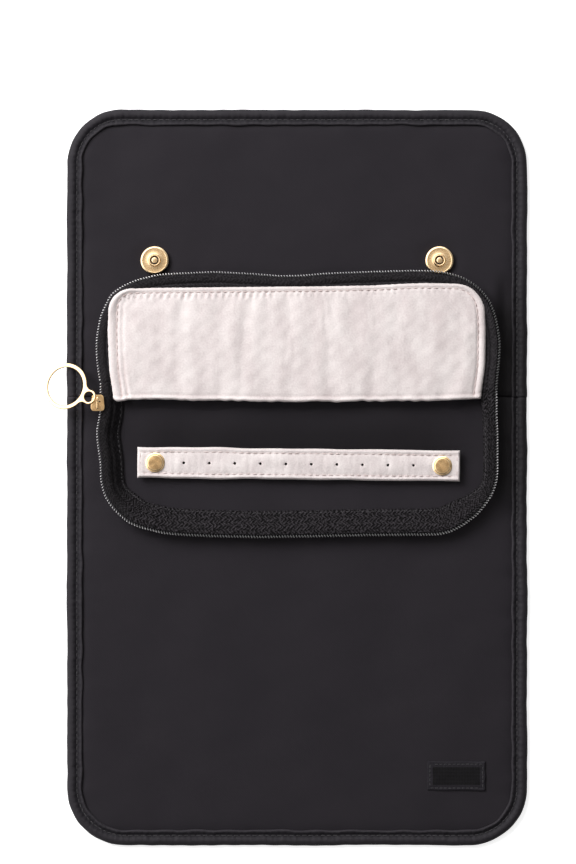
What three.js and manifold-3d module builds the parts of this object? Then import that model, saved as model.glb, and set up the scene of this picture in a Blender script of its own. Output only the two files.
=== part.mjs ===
// Folding jewelry organizer: a padded nylon panel with a zip-around pouch in its middle.
// Millimetres. It lies open on its back: +X to the right, +Y towards the upper flap, +Z up.
// The origin is the middle of the panel's underside. The pouch lid is turned up over the panel.
import * as THREE from 'three';
import { mergeVertices } from 'three/addons/utils/BufferGeometryUtils.js';
import Module from 'manifold-3d';

const wasm = await Module();
wasm.setup();

// Panel
const PANEL_WIDTH = 230;
const PANEL_LENGTH = 367.5;
const TOP_CORNER = 27;
const BOTTOM_CORNER = 29;
const BINDING_WIDTH = 7.9;
const BINDING_HEIGHT = 3.6;
const SHELL_THICK = 0.5;
const PADDING_THICK = 1.9;
const LINING_THICK = 0.6;
const SEAM_GAP = 0.3;

// The rolled edge of the binding, as [inset, height] in shares of the binding's height
const EDGE_ROLL = 0.42;
const EDGE_UNDERSIDE = [[0, 0.5], [0.07, 0.2], [0.26, 0]];
const EDGE_SHOULDER = [0.126, 0.8];
const BAND_STEP = 0.7;

// Folds of the panel, and the upper flap's share of the length that both flaps have
const UPPER_FOLD = 27;
const LOWER_FOLD = 26;
const UPPER_FLAP_SHARE = 0.2402;

// Label on the lower flap
const LABEL_WIDTH = 29;
const LABEL_LENGTH = 14.5;
const LABEL_THICK = 0.5;
const LABEL_CORNER = 0.6;
const LABEL_FROM_SIDE = 21;
const LABEL_FROM_BOTTOM = 27.6;

// Magnetic snaps
const MAGNET_DIAMETER = 14;
const MAGNET_HEIGHT = 2.3;
const MAGNET_BEVEL = 0.6;
const MAGNET_COLLAR_DIAMETER = 5.3;
const MAGNET_COLLAR_RISE = 0.7;
const MAGNET_COLLAR_FLARE = 0.5;
const MAGNET_HOLE_DIAMETER = 3.9;
const MAGNET_HOLE_FLOOR = 0.25;
const MAGNET_RIVET_DIAMETER = 3.2;
const MAGNET_SPACING = 142;
const MAGNET_FROM_LID = 5.5;
const MAGNET_TO_FOLD = 1.45;
const WASHER_DIAMETER = 12;
const WASHER_THICK = 0.8;

// Pouch outline, along the middle of the coil
const POUCH_WIDTH = 197.4;
const POUCH_DEPTH = 66.4;
const POUCH_SHIFT = 1.4;
const POUCH_TO_FOLD = 1.25;
const POUCH_CORNER = 36;
const LID_CORNER = 30;
const RIM_HEIGHT = 6.6;
const SPINE_THICK = 1.6;
const SPINE_HEIGHT = 4;
const SPINE_SHOULDER = 0.8;
const SPINE_TOP_WIDTH = 0.5;

// Zip
const COIL_WIDTH = 1.7;
const COIL_HEIGHT = 1.8;
const TOOTH_PITCH = 2.06;
const TOOTH_DEPTH = 0.35;
const TOOTH_DIP = 0.25;
const TAPE_THICK = 0.7;
const TAPE_WIDTH_SIDE = 10.9;
const TAPE_WIDTH_FRONT = 12.6;
const TAPE_FLAT = 3.9;
const LID_TAPE_WIDTH = 6.2;
const LID_TAPE_FLAT = 1.9;
const BEND_HALF = 5;
const SLIDER_SIDE_BEND = 10.6;

// Lid
const LID_SHELL_THICK = 0.6;
const LID_FOAM_THICK = 1.3;
const LID_LINING_THICK = 0.4;
const LID_FOOT_CORNER = 1;
const LID_FROM_HINGE = 1.6;
const POCKET_FROM_HINGE = 2.4;
const POCKET_INSET_SIDE = 5;
const POCKET_INSET_TOP = 7;
const POCKET_CORNER = 20;
const POCKET_FOOT_CORNER = 2;
const POCKET_THICK = 0.8;
const POCKET_EDGE = 0.4;
const POCKET_CROWN = 1.3;
const POCKET_SWELL = 0.3;
const POCKET_RISE = [[0.25, 0.55], [0.6, 0.9], [1, 1]];

// Earring strip
const STRIP_LENGTH = 161.4;
const STRIP_WIDTH = 15.9;
const STRIP_SHIFT = 0.8;
const STRIP_FROM_HINGE = 29.65;
const STRIP_TURN = -0.65;
const STRIP_FACE_THICK = 1;
const STRIP_BACKING_THICK = 0.8;
const STRIP_CORNER = 1;
const EARRING_HOLES = 10;
const EARRING_PITCH = 12.7;
const EARRING_HOLE_DIAMETER = 1.1;
const SNAP_SPACING = 142.9;
const CAP_DIAMETER = 9.8;
const CAP_HEIGHT = 1.5;
const CAP_DOME = [0.98, 0.85, 0.62, 0.33];
const CAP_FULLNESS = 0.8;
const CAP_SHANK = 1.8;
const CAP_SHANK_DEPTH = 0.2;
const SOCKET_DIAMETER = 8.8;
const SOCKET_HEIGHT = 1.7;
const SOCKET_LEDGE = 0.35;
const STUD_DIAMETER = 3.3;
const STUD_BASE_THICK = 0.6;
const STUD_NECK = 0.3;
const STUD_FLARE = 0.35;
const SNAP_PLAY = 0.3;

// Slider, crown, link and ring pull
const SLIDER_LENGTH = 8;
const SLIDER_PLATE = 0.8;
const SLIDER_FLANGE = 0.6;
const SLIDER_WEDGE = 1;
const SLIDER_WEDGE_END = 0.15;
const SLIDER_PAST_HINGE = 0.8;
const CHAIN_END = 0.2;
const CHAIN_PLAY = 0.3;
const CROWN_LENGTH = 6;
const CROWN_BAR = 0.9;
const CROWN_ROUND = 0.7;
const CROWN_CLEAR = 2;
const LINK_ALONG_CROWN = 1.1;
const LINK_WIRE = 0.7;
const LINK_INNER_WIDTH = 2;
const LINK_INNER_LENGTH = 3.5;
const LINK_BEHIND = 0.95;
const PULL_OUTER_DIAMETER = 23.25;
const PULL_INNER_DIAMETER = 19.4;
const PULL_THICK = 1.2;
const EYE_OUTER_DIAMETER = 7.25;
const EYE_HOLE_DIAMETER = 5.15;
const EYE_TO_RING = 14.26;
const PULL_FILLET = 3;
const PULL_EDGE = 0.25;
const PULL_YAW = 24;
const PULL_CLEAR = 0.6;

// The slider's outline: shares of its half width, then shares of its half length
const SLIDER_FRONT_WIDTH = 0.55;
const SLIDER_TAIL_WIDTH = 0.86;
const SLIDER_TAIL_ROUND = 0.8;
const SLIDER_TAIL_FLAT = 0.5;
const SLIDER_SHOULDER = 0.45;
const SLIDER_TAIL_START = 0.7;

// Small roundings of metal edges, and how far a cutting block reaches past what it cuts
const METAL_EDGE = 0.3;
const FINE_EDGE = 0.2;
const CUT_PAST = 1;

// Straight steps that stand in for a round, by kind of piece
const STEPS = { magnet: 32, cap: 28, hidden: 20, pull: 18, pin: 16, route: 8, layer: 6, hole: 4, label: 3 };

// Heights and places worked out from the sizes above
const PADDING_Z = SHELL_THICK;
const LINING_Z = PADDING_Z + PADDING_THICK;
const FACE_Z = LINING_Z + LINING_THICK;
const COIL_Z = FACE_Z + RIM_HEIGHT;
const PANEL_TOP = PANEL_LENGTH / 2;
const PANEL_BOTTOM = -PANEL_LENGTH / 2;
const MAGNET_ZONE = MAGNET_FROM_LID + MAGNET_DIAMETER / 2 + MAGNET_TO_FOLD;
const POUCH_ZONE = POUCH_TO_FOLD + 2 * POUCH_DEPTH;
const BOTH_FLAPS = PANEL_LENGTH - LOWER_FOLD - POUCH_ZONE - MAGNET_ZONE - UPPER_FOLD;
const LOWER_FOLD_BOTTOM = PANEL_BOTTOM + BOTH_FLAPS * (1 - UPPER_FLAP_SHARE);
const LOWER_FOLD_TOP = LOWER_FOLD_BOTTOM + LOWER_FOLD;
const POUCH_FRONT = LOWER_FOLD_TOP + POUCH_TO_FOLD;
const HINGE_Y = POUCH_FRONT + POUCH_DEPTH;
const UPPER_FOLD_BOTTOM = HINGE_Y + POUCH_DEPTH + MAGNET_ZONE;
const UPPER_FOLD_TOP = UPPER_FOLD_BOTTOM + UPPER_FOLD;
const COIL_LEFT = POUCH_SHIFT - POUCH_WIDTH / 2;
const COIL_RIGHT = POUCH_SHIFT + POUCH_WIDTH / 2;
const TAPE_START = COIL_WIDTH / 2 + SEAM_GAP;

const nylon = new THREE.MeshStandardMaterial({ color: '#2f2c30', roughness: 0.62, metalness: 0 });
const bindingCloth = new THREE.MeshStandardMaterial({ color: '#343135', roughness: 0.58, metalness: 0 });
const foam = new THREE.MeshStandardMaterial({ color: '#4a484b', roughness: 0.95, metalness: 0 });
const zipTape = new THREE.MeshStandardMaterial({ color: '#262426', roughness: 0.85, metalness: 0 });
const coilNylon = new THREE.MeshStandardMaterial({ color: '#1d1c1e', roughness: 0.3, metalness: 0 });
const microsuede = new THREE.MeshStandardMaterial({ color: '#ece1e0', roughness: 0.92, metalness: 0 });
const gold = new THREE.MeshStandardMaterial({ color: '#e2c697', roughness: 0.25, metalness: 1 });
const steel = new THREE.MeshStandardMaterial({ color: '#b9b9bd', roughness: 0.35, metalness: 1 });
const wovenLabel = new THREE.MeshStandardMaterial({ color: '#151415', roughness: 0.9, metalness: 0 });

// Solids

// Makes a geometry one closed surface with its faces pointing out.
function closed(geometry) {
  const bare = geometry.clone();
  bare.deleteAttribute('normal');
  bare.deleteAttribute('uv');
  const merged = mergeVertices(bare, 1e-4);
  const p = merged.attributes.position.array;
  const kept = [];
  let volume = 0;
  for (let i = 0; i < merged.index.count; i += 3) {
    const [a, b, c] = merged.index.array.slice(i, i + 3);
    if (a === b || b === c || c === a) continue;
    kept.push(a, b, c);
    const va = new THREE.Vector3().fromArray(p, a * 3);
    const vb = new THREE.Vector3().fromArray(p, b * 3);
    const vc = new THREE.Vector3().fromArray(p, c * 3);
    volume += va.dot(vb.cross(vc));
  }
  merged.setIndex(volume < 0 ? kept.reverse() : kept);
  return merged;
}

function toSolid(geometry) {
  const surface = closed(geometry);
  return new wasm.Manifold(new wasm.Mesh({
    numProp: 3,
    vertProperties: new Float32Array(surface.attributes.position.array),
    triVerts: new Uint32Array(surface.index.array),
  }));
}

function toGeometry(solid) {
  const mesh = solid.getMesh();
  const geometry = new THREE.BufferGeometry();
  geometry.setAttribute('position', new THREE.BufferAttribute(new Float32Array(mesh.vertProperties), 3));
  geometry.setIndex([...mesh.triVerts]);
  return geometry;
}

function cut(geometry, ...tools) {
  let solid = toSolid(geometry);
  for (const tool of tools) solid = solid.subtract(toSolid(tool));
  return toGeometry(solid);
}

function part(name, geometry, material) {
  const surface = closed(geometry);
  surface.computeVertexNormals();
  const mesh = new THREE.Mesh(surface, material);
  mesh.name = name;
  return mesh;
}

// A flat piece of the given outline between two heights.
function slab(shape, low, high, segments) {
  const geometry = new THREE.ExtrudeGeometry(shape, {
    depth: high - low,
    bevelEnabled: false,
    curveSegments: segments,
  });
  return geometry.translate(0, 0, low);
}

function block(x0, x1, y0, y1, z0, z1) {
  const geometry = new THREE.BoxGeometry(x1 - x0, y1 - y0, z1 - z0);
  return geometry.translate((x0 + x1) / 2, (y0 + y1) / 2, (z0 + z1) / 2);
}

function disc(diameter, x, y, low, high, segments) {
  const geometry = new THREE.CylinderGeometry(diameter / 2, diameter / 2, high - low, segments);
  return geometry.rotateX(Math.PI / 2).translate(x, y, (low + high) / 2);
}

// A turned piece: its profile is a list of [radius, height], upright about +Z.
function turned(profile, x, y, segments) {
  const points = profile.map(([r, z]) => new THREE.Vector2(r, z));
  return new THREE.LatheGeometry(points, segments).rotateX(Math.PI / 2).translate(x, y, 0);
}

// A rectangle with its own radius at each corner: top left, top right, bottom right, bottom left.
function roundedRectangle(x0, x1, y0, y1, [tl, tr, br, bl]) {
  const shape = new THREE.Shape();
  const quarter = Math.PI / 2;
  shape.moveTo(x0 + bl, y0);
  shape.lineTo(x1 - br, y0);
  if (br > 0) shape.absarc(x1 - br, y0 + br, br, -quarter, 0, false);
  shape.lineTo(x1, y1 - tr);
  if (tr > 0) shape.absarc(x1 - tr, y1 - tr, tr, 0, quarter, false);
  shape.lineTo(x0 + tl, y1);
  if (tl > 0) shape.absarc(x0 + tl, y1 - tl, tl, quarter, 2 * quarter, false);
  shape.lineTo(x0, y0 + bl);
  if (bl > 0) shape.absarc(x0 + bl, y0 + bl, bl, 2 * quarter, 3 * quarter, false);
  return shape;
}

function allCorners(radius) {
  return [radius, radius, radius, radius];
}

// Triangles of a flat outline, turned the same way round as the outline itself.
function capTriangles(outline) {
  const triangles = THREE.ShapeUtils.triangulateShape(outline, []);
  const twice = ([a, b, c]) => THREE.ShapeUtils.area([outline[a], outline[b], outline[c]]);
  const agrees = twice(triangles[0]) * THREE.ShapeUtils.area(outline) > 0;
  return agrees ? triangles : triangles.map(([a, b, c]) => [a, c, b]);
}

// Joins rings of points, each with the same count, into one skin closed at both ends.
// capPlane turns a ring into the flat outline that its end cap is cut from.
function skin(rings, capPlane) {
  const count = rings[0].length;
  const positions = rings.flat().flatMap((p) => [p.x, p.y, p.z]);
  const index = [];
  for (let r = 0; r + 1 < rings.length; r += 1) {
    for (let i = 0; i < count; i += 1) {
      const j = (i + 1) % count;
      const a = r * count + i;
      const b = r * count + j;
      index.push(a, b, a + count, b, b + count, a + count);
    }
  }
  const last = (rings.length - 1) * count;
  for (const [a, b, c] of capTriangles(capPlane(rings[0]))) index.push(a, c, b);
  for (const [a, b, c] of capTriangles(capPlane(rings[rings.length - 1]))) {
    index.push(last + a, last + b, last + c);
  }
  const geometry = new THREE.BufferGeometry();
  geometry.setAttribute('position', new THREE.Float32BufferAttribute(positions, 3));
  geometry.setIndex(index);
  return geometry;
}

// Routes in plan: down one side, round a corner, across, round a corner and back up the other side.

// side is +1 where the route's far end is towards +Y, and -1 where it is towards -Y.
class PlanRoute {
  constructor(xLeft, xRight, yStartLeft, yStartRight, yFar, radius) {
    this.side = Math.sign(yFar - yStartLeft);
    this.left = Math.abs(yFar - yStartLeft) - radius;
    this.across = xRight - xLeft - 2 * radius;
    this.right = Math.abs(yFar - yStartRight) - radius;
    this.arc = radius * Math.PI / 2;
    this.radius = radius;
    Object.assign(this, { xLeft, xRight, yStartLeft, yFar });
    this.length = this.left + this.arc + this.across + this.arc + this.right;
  }

  // The place at a distance along the route, with the level direction that points inwards.
  at(distance) {
    const { side, radius } = this;
    const cornerY = this.yFar - side * radius;
    let s = distance;
    if (s <= this.left) return { x: this.xLeft, y: this.yStartLeft + side * s, inX: 1, inY: 0 };
    s -= this.left;
    if (s <= this.arc) return this.corner(this.xLeft + radius, cornerY, -1, s / radius);
    s -= this.arc;
    if (s <= this.across) return { x: this.xLeft + radius + s, y: this.yFar, inX: 0, inY: -side };
    s -= this.across;
    if (s <= this.arc) return this.corner(this.xRight - radius, cornerY, 1, Math.PI / 2 - s / radius);
    s -= this.arc;
    return { x: this.xRight, y: cornerY - side * s, inX: -1, inY: 0 };
  }

  corner(centreX, centreY, hand, angle) {
    const outX = hand * Math.cos(angle);
    const outY = this.side * Math.sin(angle);
    return { x: centreX + this.radius * outX, y: centreY + this.radius * outY, inX: -outX, inY: -outY };
  }

  // Distances that follow the corners closely and cross the straights in one step each.
  stops(perCorner) {
    const list = [0];
    const steps = Array.from({ length: perCorner + 1 }, (_, i) => i / perCorner);
    for (const f of steps) list.push(this.left + f * this.arc);
    for (const f of steps) list.push(this.left + this.arc + this.across + f * this.arc);
    list.push(this.length);
    return list.filter((s, i) => i === 0 || s - list[i - 1] > 1e-6);
  }
}

// Sweeps a section of [inset, height] points along a route.
function sweep(route, stops, sectionAt) {
  const rings = stops.map((s) => {
    const place = route.at(s);
    return sectionAt(place, s).map(([inset, z]) => new THREE.Vector3(
      place.x + place.inX * inset,
      place.y + place.inY * inset,
      z,
    ));
  });
  const section = (ring) => {
    const start = ring[0];
    return ring.map((p) => {
      const dx = p.x - start.x;
      const dy = p.y - start.y;
      const far = ring[Math.floor(ring.length / 2)];
      const sign = dx * (far.x - start.x) + dy * (far.y - start.y) < 0 ? -1 : 1;
      return new THREE.Vector2(sign * Math.hypot(dx, dy), p.z);
    });
  };
  return skin(rings, section);
}

const route = {
  upperEdge: new PlanRoute(-PANEL_WIDTH / 2, PANEL_WIDTH / 2,
    UPPER_FOLD_TOP, UPPER_FOLD_TOP, PANEL_TOP, TOP_CORNER),
  lowerEdge: new PlanRoute(-PANEL_WIDTH / 2, PANEL_WIDTH / 2,
    LOWER_FOLD_BOTTOM, LOWER_FOLD_BOTTOM, PANEL_BOTTOM, BOTTOM_CORNER),
  base: new PlanRoute(COIL_LEFT, COIL_RIGHT,
    HINGE_Y, HINGE_Y - BEND_HALF, POUCH_FRONT, POUCH_CORNER),
  lid: new PlanRoute(COIL_LEFT, COIL_RIGHT,
    HINGE_Y + SLIDER_SIDE_BEND, HINGE_Y + BEND_HALF, HINGE_Y + POUCH_DEPTH, LID_CORNER),
};

// Panel layers, fold strips and binding

const PANEL_INNER = PANEL_WIDTH / 2 - BINDING_WIDTH - SEAM_GAP;
const layers = [
  ['outer_shell', 0, SHELL_THICK, nylon],
  ['padding', PADDING_Z, LINING_Z, foam],
  ['lining', LINING_Z, FACE_Z, nylon],
];

function bindingSection() {
  const inner = BINDING_WIDTH;
  const scaled = ([inset, height]) => [inset * BINDING_HEIGHT, height * BINDING_HEIGHT];
  return [
    ...EDGE_UNDERSIDE.map(scaled),
    [inner, 0],
    [inner, BINDING_HEIGHT - BAND_STEP],
    [inner - BAND_STEP, BINDING_HEIGHT],
    [EDGE_ROLL * BINDING_HEIGHT, BINDING_HEIGHT],
    scaled(EDGE_SHOULDER),
  ];
}

function panelPieces(region, shape, washers) {
  return layers.map(([layer, low, high, material]) => {
    let geometry = slab(shape, low, high, STEPS.layer);
    if (layer === 'padding' && washers.length) geometry = cut(geometry, ...washers);
    return part(`${layer}_${region}`, geometry, material);
  });
}

function insideBinding(y0, y1, corner, atTop) {
  const r = corner - BINDING_WIDTH - SEAM_GAP;
  const radii = atTop ? [r, r, 0, 0] : [0, 0, r, r];
  return roundedRectangle(-PANEL_INNER, PANEL_INNER, y0, y1, radii);
}

// A fold strip is the whole sandwich with its two bound edges, as one band across the panel.
function foldStrip(name, y0, y1) {
  const half = PANEL_WIDTH / 2;
  const edge = bindingSection();
  const underside = EDGE_UNDERSIDE.length;
  const left = edge.slice(0, underside).map(([inset, z]) => [-half + inset, z]);
  const top = edge.slice(underside + 1).map(([inset, z]) => [-half + inset, z]);
  const section = [
    ...left,
    ...left.map(([x, z]) => [-x, z]).reverse(),
    ...top.map(([x, z]) => [-x, z]).reverse(),
    [half - BINDING_WIDTH, FACE_Z],
    [-half + BINDING_WIDTH, FACE_Z],
    ...top,
  ].filter(([x, z], i, all) => {
    const before = all[(i + all.length - 1) % all.length];
    return Math.hypot(x - before[0], z - before[1]) > 1e-6;
  });
  const rings = [y0, y1].map((y) => section.map(([x, z]) => new THREE.Vector3(x, y, z)));
  return part(name, skin(rings, (ring) => ring.map((p) => new THREE.Vector2(p.x, p.z))), nylon);
}

function sideBinding(name, hand) {
  const section = bindingSection();
  const rings = [LOWER_FOLD_TOP + SEAM_GAP / 2, UPPER_FOLD_BOTTOM - SEAM_GAP / 2].map((y) => (
    section.map(([inset, z]) => new THREE.Vector3(hand * (PANEL_WIDTH / 2 - inset), y, z))
  ));
  return part(name, skin(rings, (ring) => ring.map((p) => new THREE.Vector2(p.x, p.z))), bindingCloth);
}

function labelPatch() {
  const right = PANEL_WIDTH / 2 - LABEL_FROM_SIDE;
  const low = PANEL_BOTTOM + LABEL_FROM_BOTTOM;
  const shape = roundedRectangle(right - LABEL_WIDTH, right, low, low + LABEL_LENGTH, allCorners(LABEL_CORNER));
  return part('label_patch', slab(shape, FACE_Z, FACE_Z + LABEL_THICK, STEPS.label), wovenLabel);
}

// Magnetic snaps: a socket housing on the lining, a rivet in its hole and a washer behind the lining.

const MAGNET_Y = HINGE_Y + POUCH_DEPTH + MAGNET_FROM_LID;
const WASHER_LOW = LINING_Z - WASHER_THICK;

function magnetX(hand) {
  return hand * MAGNET_SPACING / 2;
}

function magneticSnap(side, hand) {
  const x = magnetX(hand);
  const outer = MAGNET_DIAMETER / 2;
  const collar = MAGNET_COLLAR_DIAMETER / 2;
  const hole = MAGNET_HOLE_DIAMETER / 2;
  const top = FACE_Z + MAGNET_HEIGHT;
  const rim = top + MAGNET_COLLAR_RISE;
  const floor = FACE_Z + MAGNET_HEIGHT * MAGNET_HOLE_FLOOR;
  const housing = turned([
    [0, FACE_Z], [outer - METAL_EDGE, FACE_Z], [outer, FACE_Z + METAL_EDGE],
    [outer, top - MAGNET_BEVEL], [outer - MAGNET_BEVEL, top], [collar + MAGNET_COLLAR_FLARE, top],
    [collar, rim - FINE_EDGE], [collar - FINE_EDGE, rim], [hole + FINE_EDGE, rim],
    [hole, rim - FINE_EDGE], [hole, floor], [0, floor],
  ], x, MAGNET_Y, STEPS.magnet);
  const shank = MAGNET_RIVET_DIAMETER / 2;
  const rivet = turned([
    [0, floor], [shank, floor], [shank, top - METAL_EDGE], [shank - 2 * METAL_EDGE, top], [0, top],
  ], x, MAGNET_Y, STEPS.pin);
  const washer = disc(WASHER_DIAMETER, x, MAGNET_Y, WASHER_LOW, LINING_Z, STEPS.hidden);
  return [
    part(`magnet_socket_${side}`, housing, gold),
    part(`magnet_rivet_${side}`, rivet, gold),
    part(`magnet_washer_${side}`, washer, steel),
  ];
}

const washerPockets = [-1, 1].map((hand) => (
  disc(WASHER_DIAMETER + 2 * SEAM_GAP, magnetX(hand), MAGNET_Y,
    WASHER_LOW, LINING_Z + CUT_PAST, STEPS.hidden)
));

// Zip: a tape that rises from the cloth to a level edge, and a coil along that edge.

function tapeSection(flat, width, footZ) {
  const half = TAPE_THICK / 2;
  const slopeLength = Math.hypot(width - flat, COIL_Z - footZ);
  const liftX = half * (COIL_Z - footZ) / slopeLength;
  const liftZ = half * (width - flat) / slopeLength;
  return [
    [TAPE_START, COIL_Z - half],
    [flat - liftX / 2, COIL_Z - half],
    [width - liftX, footZ - liftZ],
    [width + liftX, footZ + liftZ],
    [flat + liftX / 2, COIL_Z + half],
    [TAPE_START, COIL_Z + half],
  ];
}

const BASE_TAPE_FOOT_Z = FACE_Z + SEAM_GAP + TAPE_THICK / 2;
const LID_BOTTOM_Z = FACE_Z + SEAM_GAP;
const LID_FOAM_Z = LID_BOTTOM_Z + LID_SHELL_THICK;
const LID_LINING_Z = LID_FOAM_Z + LID_FOAM_THICK;
const LID_TOP_Z = LID_LINING_Z + LID_LINING_THICK;

function baseTape() {
  const stops = route.base.stops(STEPS.route).filter((s) => s > 0);
  return part('zip_tape_base', sweep(route.base, [CHAIN_END, ...stops], ({ inY }) => {
    const width = TAPE_WIDTH_SIDE + (TAPE_WIDTH_FRONT - TAPE_WIDTH_SIDE) * inY * inY;
    return tapeSection(TAPE_FLAT, width, BASE_TAPE_FOOT_Z);
  }), zipTape);
}

function lidTape() {
  return part('zip_tape_lid', sweep(route.lid, route.lid.stops(STEPS.route), () => (
    tapeSection(LID_TAPE_FLAT, LID_TAPE_WIDTH, LID_LINING_Z)
  )), zipTape);
}

// The coil shows one swell for each tooth. Its rings are wide at a tooth and narrow between two.
function coil(name, path, start) {
  const teeth = Math.round((path.length - start) / TOOTH_PITCH);
  const step = (path.length - start) / (2 * teeth);
  const stops = Array.from({ length: 2 * teeth + 1 }, (_, i) => start + i * step);
  return part(name, sweep(path, stops, (place, s) => {
    const atTooth = Math.round((s - start) / step) % 2 === 1;
    const wide = COIL_WIDTH / 2 - (atTooth ? 0 : TOOTH_DEPTH);
    const tall = COIL_HEIGHT / 2 - (atTooth ? 0 : TOOTH_DIP);
    const back = COIL_WIDTH / 2;
    return [
      [-wide, COIL_Z - tall / 2], [back, COIL_Z - tall],
      [back, COIL_Z + tall], [-wide, COIL_Z + tall / 2],
    ];
  }), coilNylon);
}

// The two ends of the hinge, where the zip turns from the lower half to the lid.
function zipBend(name, hand, y0, y1) {
  const x = hand > 0 ? COIL_RIGHT : COIL_LEFT;
  const half = COIL_HEIGHT / 2;
  const section = [
    [-COIL_WIDTH / 2, COIL_Z - half / 2], [COIL_WIDTH / 2, COIL_Z - half],
    [TAPE_FLAT, COIL_Z - TAPE_THICK / 2], [TAPE_FLAT, COIL_Z + TAPE_THICK / 2],
    [COIL_WIDTH / 2, COIL_Z + half], [-COIL_WIDTH / 2, COIL_Z + half / 2],
  ];
  const rings = [y0, y1].map((y) => section.map(([inset, z]) => new THREE.Vector3(x - hand * inset, y, z)));
  return part(name, skin(rings, (ring) => ring.map((p) => new THREE.Vector2(p.x, p.z))), zipTape);
}

// Cloth spine: a low ridge along the hinge, which opens out as the lid closes.
function pouchSpine() {
  const endInset = TAPE_WIDTH_SIDE + TAPE_THICK;
  const x0 = COIL_LEFT + endInset;
  const x1 = COIL_RIGHT - endInset;
  const half = SPINE_THICK / 2;
  const low = FACE_Z + SEAM_GAP;
  const top = low + SPINE_HEIGHT;
  const shoulder = low + SPINE_HEIGHT * SPINE_SHOULDER;
  const crest = half * SPINE_TOP_WIDTH;
  const ridge = [[-half, low], [half, low], [half, shoulder], [crest, top], [-crest, top], [-half, shoulder]];
  const rings = [x0, x1].map((x) => ridge.map(([dy, z]) => new THREE.Vector3(x, HINGE_Y + dy, z)));
  return part('pouch_spine', skin(rings, (ring) => ring.map((p) => new THREE.Vector2(p.y, p.z))), nylon);
}

// Lid layers and its slip pocket

function lidOutline(inset) {
  const corner = LID_CORNER - inset;
  return roundedRectangle(COIL_LEFT + inset, COIL_RIGHT - inset,
    HINGE_Y + LID_FROM_HINGE, HINGE_Y + POUCH_DEPTH - inset,
    [corner, corner, LID_FOOT_CORNER, LID_FOOT_CORNER]);
}

function lidLayers() {
  const inset = LID_TAPE_WIDTH + TAPE_THICK;
  const outline = lidOutline(inset);
  return [
    part('lid_shell', slab(outline, LID_BOTTOM_Z, LID_FOAM_Z, STEPS.layer), nylon),
    part('lid_foam', slab(outline, LID_FOAM_Z, LID_LINING_Z, STEPS.layer), foam),
    part('lid_lining', slab(outline, LID_LINING_Z, LID_TOP_Z, STEPS.layer), nylon),
  ];
}

// Points round a rounded rectangle that shrinks by an inset and keeps its count of points.
function pocketRing(inset, z) {
  const x0 = COIL_LEFT + POCKET_INSET_SIDE + inset;
  const x1 = COIL_RIGHT - POCKET_INSET_SIDE - inset;
  const y0 = HINGE_Y + POCKET_FROM_HINGE + inset;
  const y1 = HINGE_Y + POUCH_DEPTH - POCKET_INSET_TOP - inset;
  const near = POCKET_FOOT_CORNER;
  const far = Math.max(POCKET_CORNER - inset, near / 2);
  const corners = [
    [x1 - near, y0 + near, near, -Math.PI / 2], [x1 - far, y1 - far, far, 0],
    [x0 + far, y1 - far, far, Math.PI / 2], [x0 + near, y0 + near, near, Math.PI],
  ];
  return corners.flatMap(([cx, cy, r, from]) => Array.from({ length: STEPS.layer + 1 }, (_, i) => {
    const angle = from + i / STEPS.layer * Math.PI / 2;
    return new THREE.Vector3(cx + r * Math.cos(angle), cy + r * Math.sin(angle), z);
  }));
}

// The least distance from the pocket's edge to the coil line, at a side or across a corner.
function pocketClearance() {
  const cornerCut = POCKET_CORNER * (1 - Math.SQRT1_2);
  const acrossCorner = LID_CORNER - Math.hypot(LID_CORNER - POCKET_INSET_SIDE - cornerCut,
    LID_CORNER - POCKET_INSET_TOP - cornerCut);
  return Math.min(POCKET_INSET_SIDE, POCKET_INSET_TOP, acrossCorner);
}

function lidPocket() {
  const fall = (COIL_Z - LID_LINING_Z) / (LID_TAPE_WIDTH - LID_TAPE_FLAT);
  const tapeTop = COIL_Z - fall * Math.max(pocketClearance() - SEAM_GAP - LID_TAPE_FLAT, 0)
    + TAPE_THICK / 2 * Math.hypot(1, fall);
  const low = Math.max(LID_TOP_Z, tapeTop) + SEAM_GAP;
  const top = low + POCKET_THICK;
  const swell = POUCH_DEPTH * POCKET_SWELL;
  const rings = [
    pocketRing(POCKET_EDGE, low), pocketRing(0, low + POCKET_THICK / 2), pocketRing(POCKET_EDGE, top),
    ...POCKET_RISE.map(([inward, up]) => pocketRing(swell * inward, top + POCKET_CROWN * up)),
  ];
  return part('lid_pocket', skin(rings, (ring) => ring.map((p) => new THREE.Vector2(p.x, p.y))), microsuede);
}

// Earring strip: two layers with snap caps on top and snap sockets below, held on two studs.

const SOCKET_Z = FACE_Z + STUD_BASE_THICK + SNAP_PLAY;
const STRIP_Z = SOCKET_Z + SOCKET_HEIGHT;
const STRIP_FACE_Z = STRIP_Z + STRIP_BACKING_THICK;
const STRIP_TOP_Z = STRIP_FACE_Z + STRIP_FACE_THICK;

function stripLayer(name, low, high) {
  const half = STRIP_LENGTH / 2;
  const wide = STRIP_WIDTH / 2;
  const shape = roundedRectangle(-half, half, -wide, wide, allCorners(STRIP_CORNER));
  for (let i = 0; i < EARRING_HOLES; i += 1) {
    const hole = new THREE.Path();
    const x = (i - (EARRING_HOLES - 1) / 2) * EARRING_PITCH;
    hole.absarc(x, 0, EARRING_HOLE_DIAMETER / 2, 0, 2 * Math.PI, true);
    shape.holes.push(hole);
  }
  for (const hand of [-1, 1]) {
    const hole = new THREE.Path();
    hole.absarc(hand * SNAP_SPACING / 2, 0, CAP_SHANK / 2 + SNAP_PLAY, 0, 2 * Math.PI, true);
    shape.holes.push(hole);
  }
  return part(name, slab(shape, low, high, STEPS.hole), microsuede);
}

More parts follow.
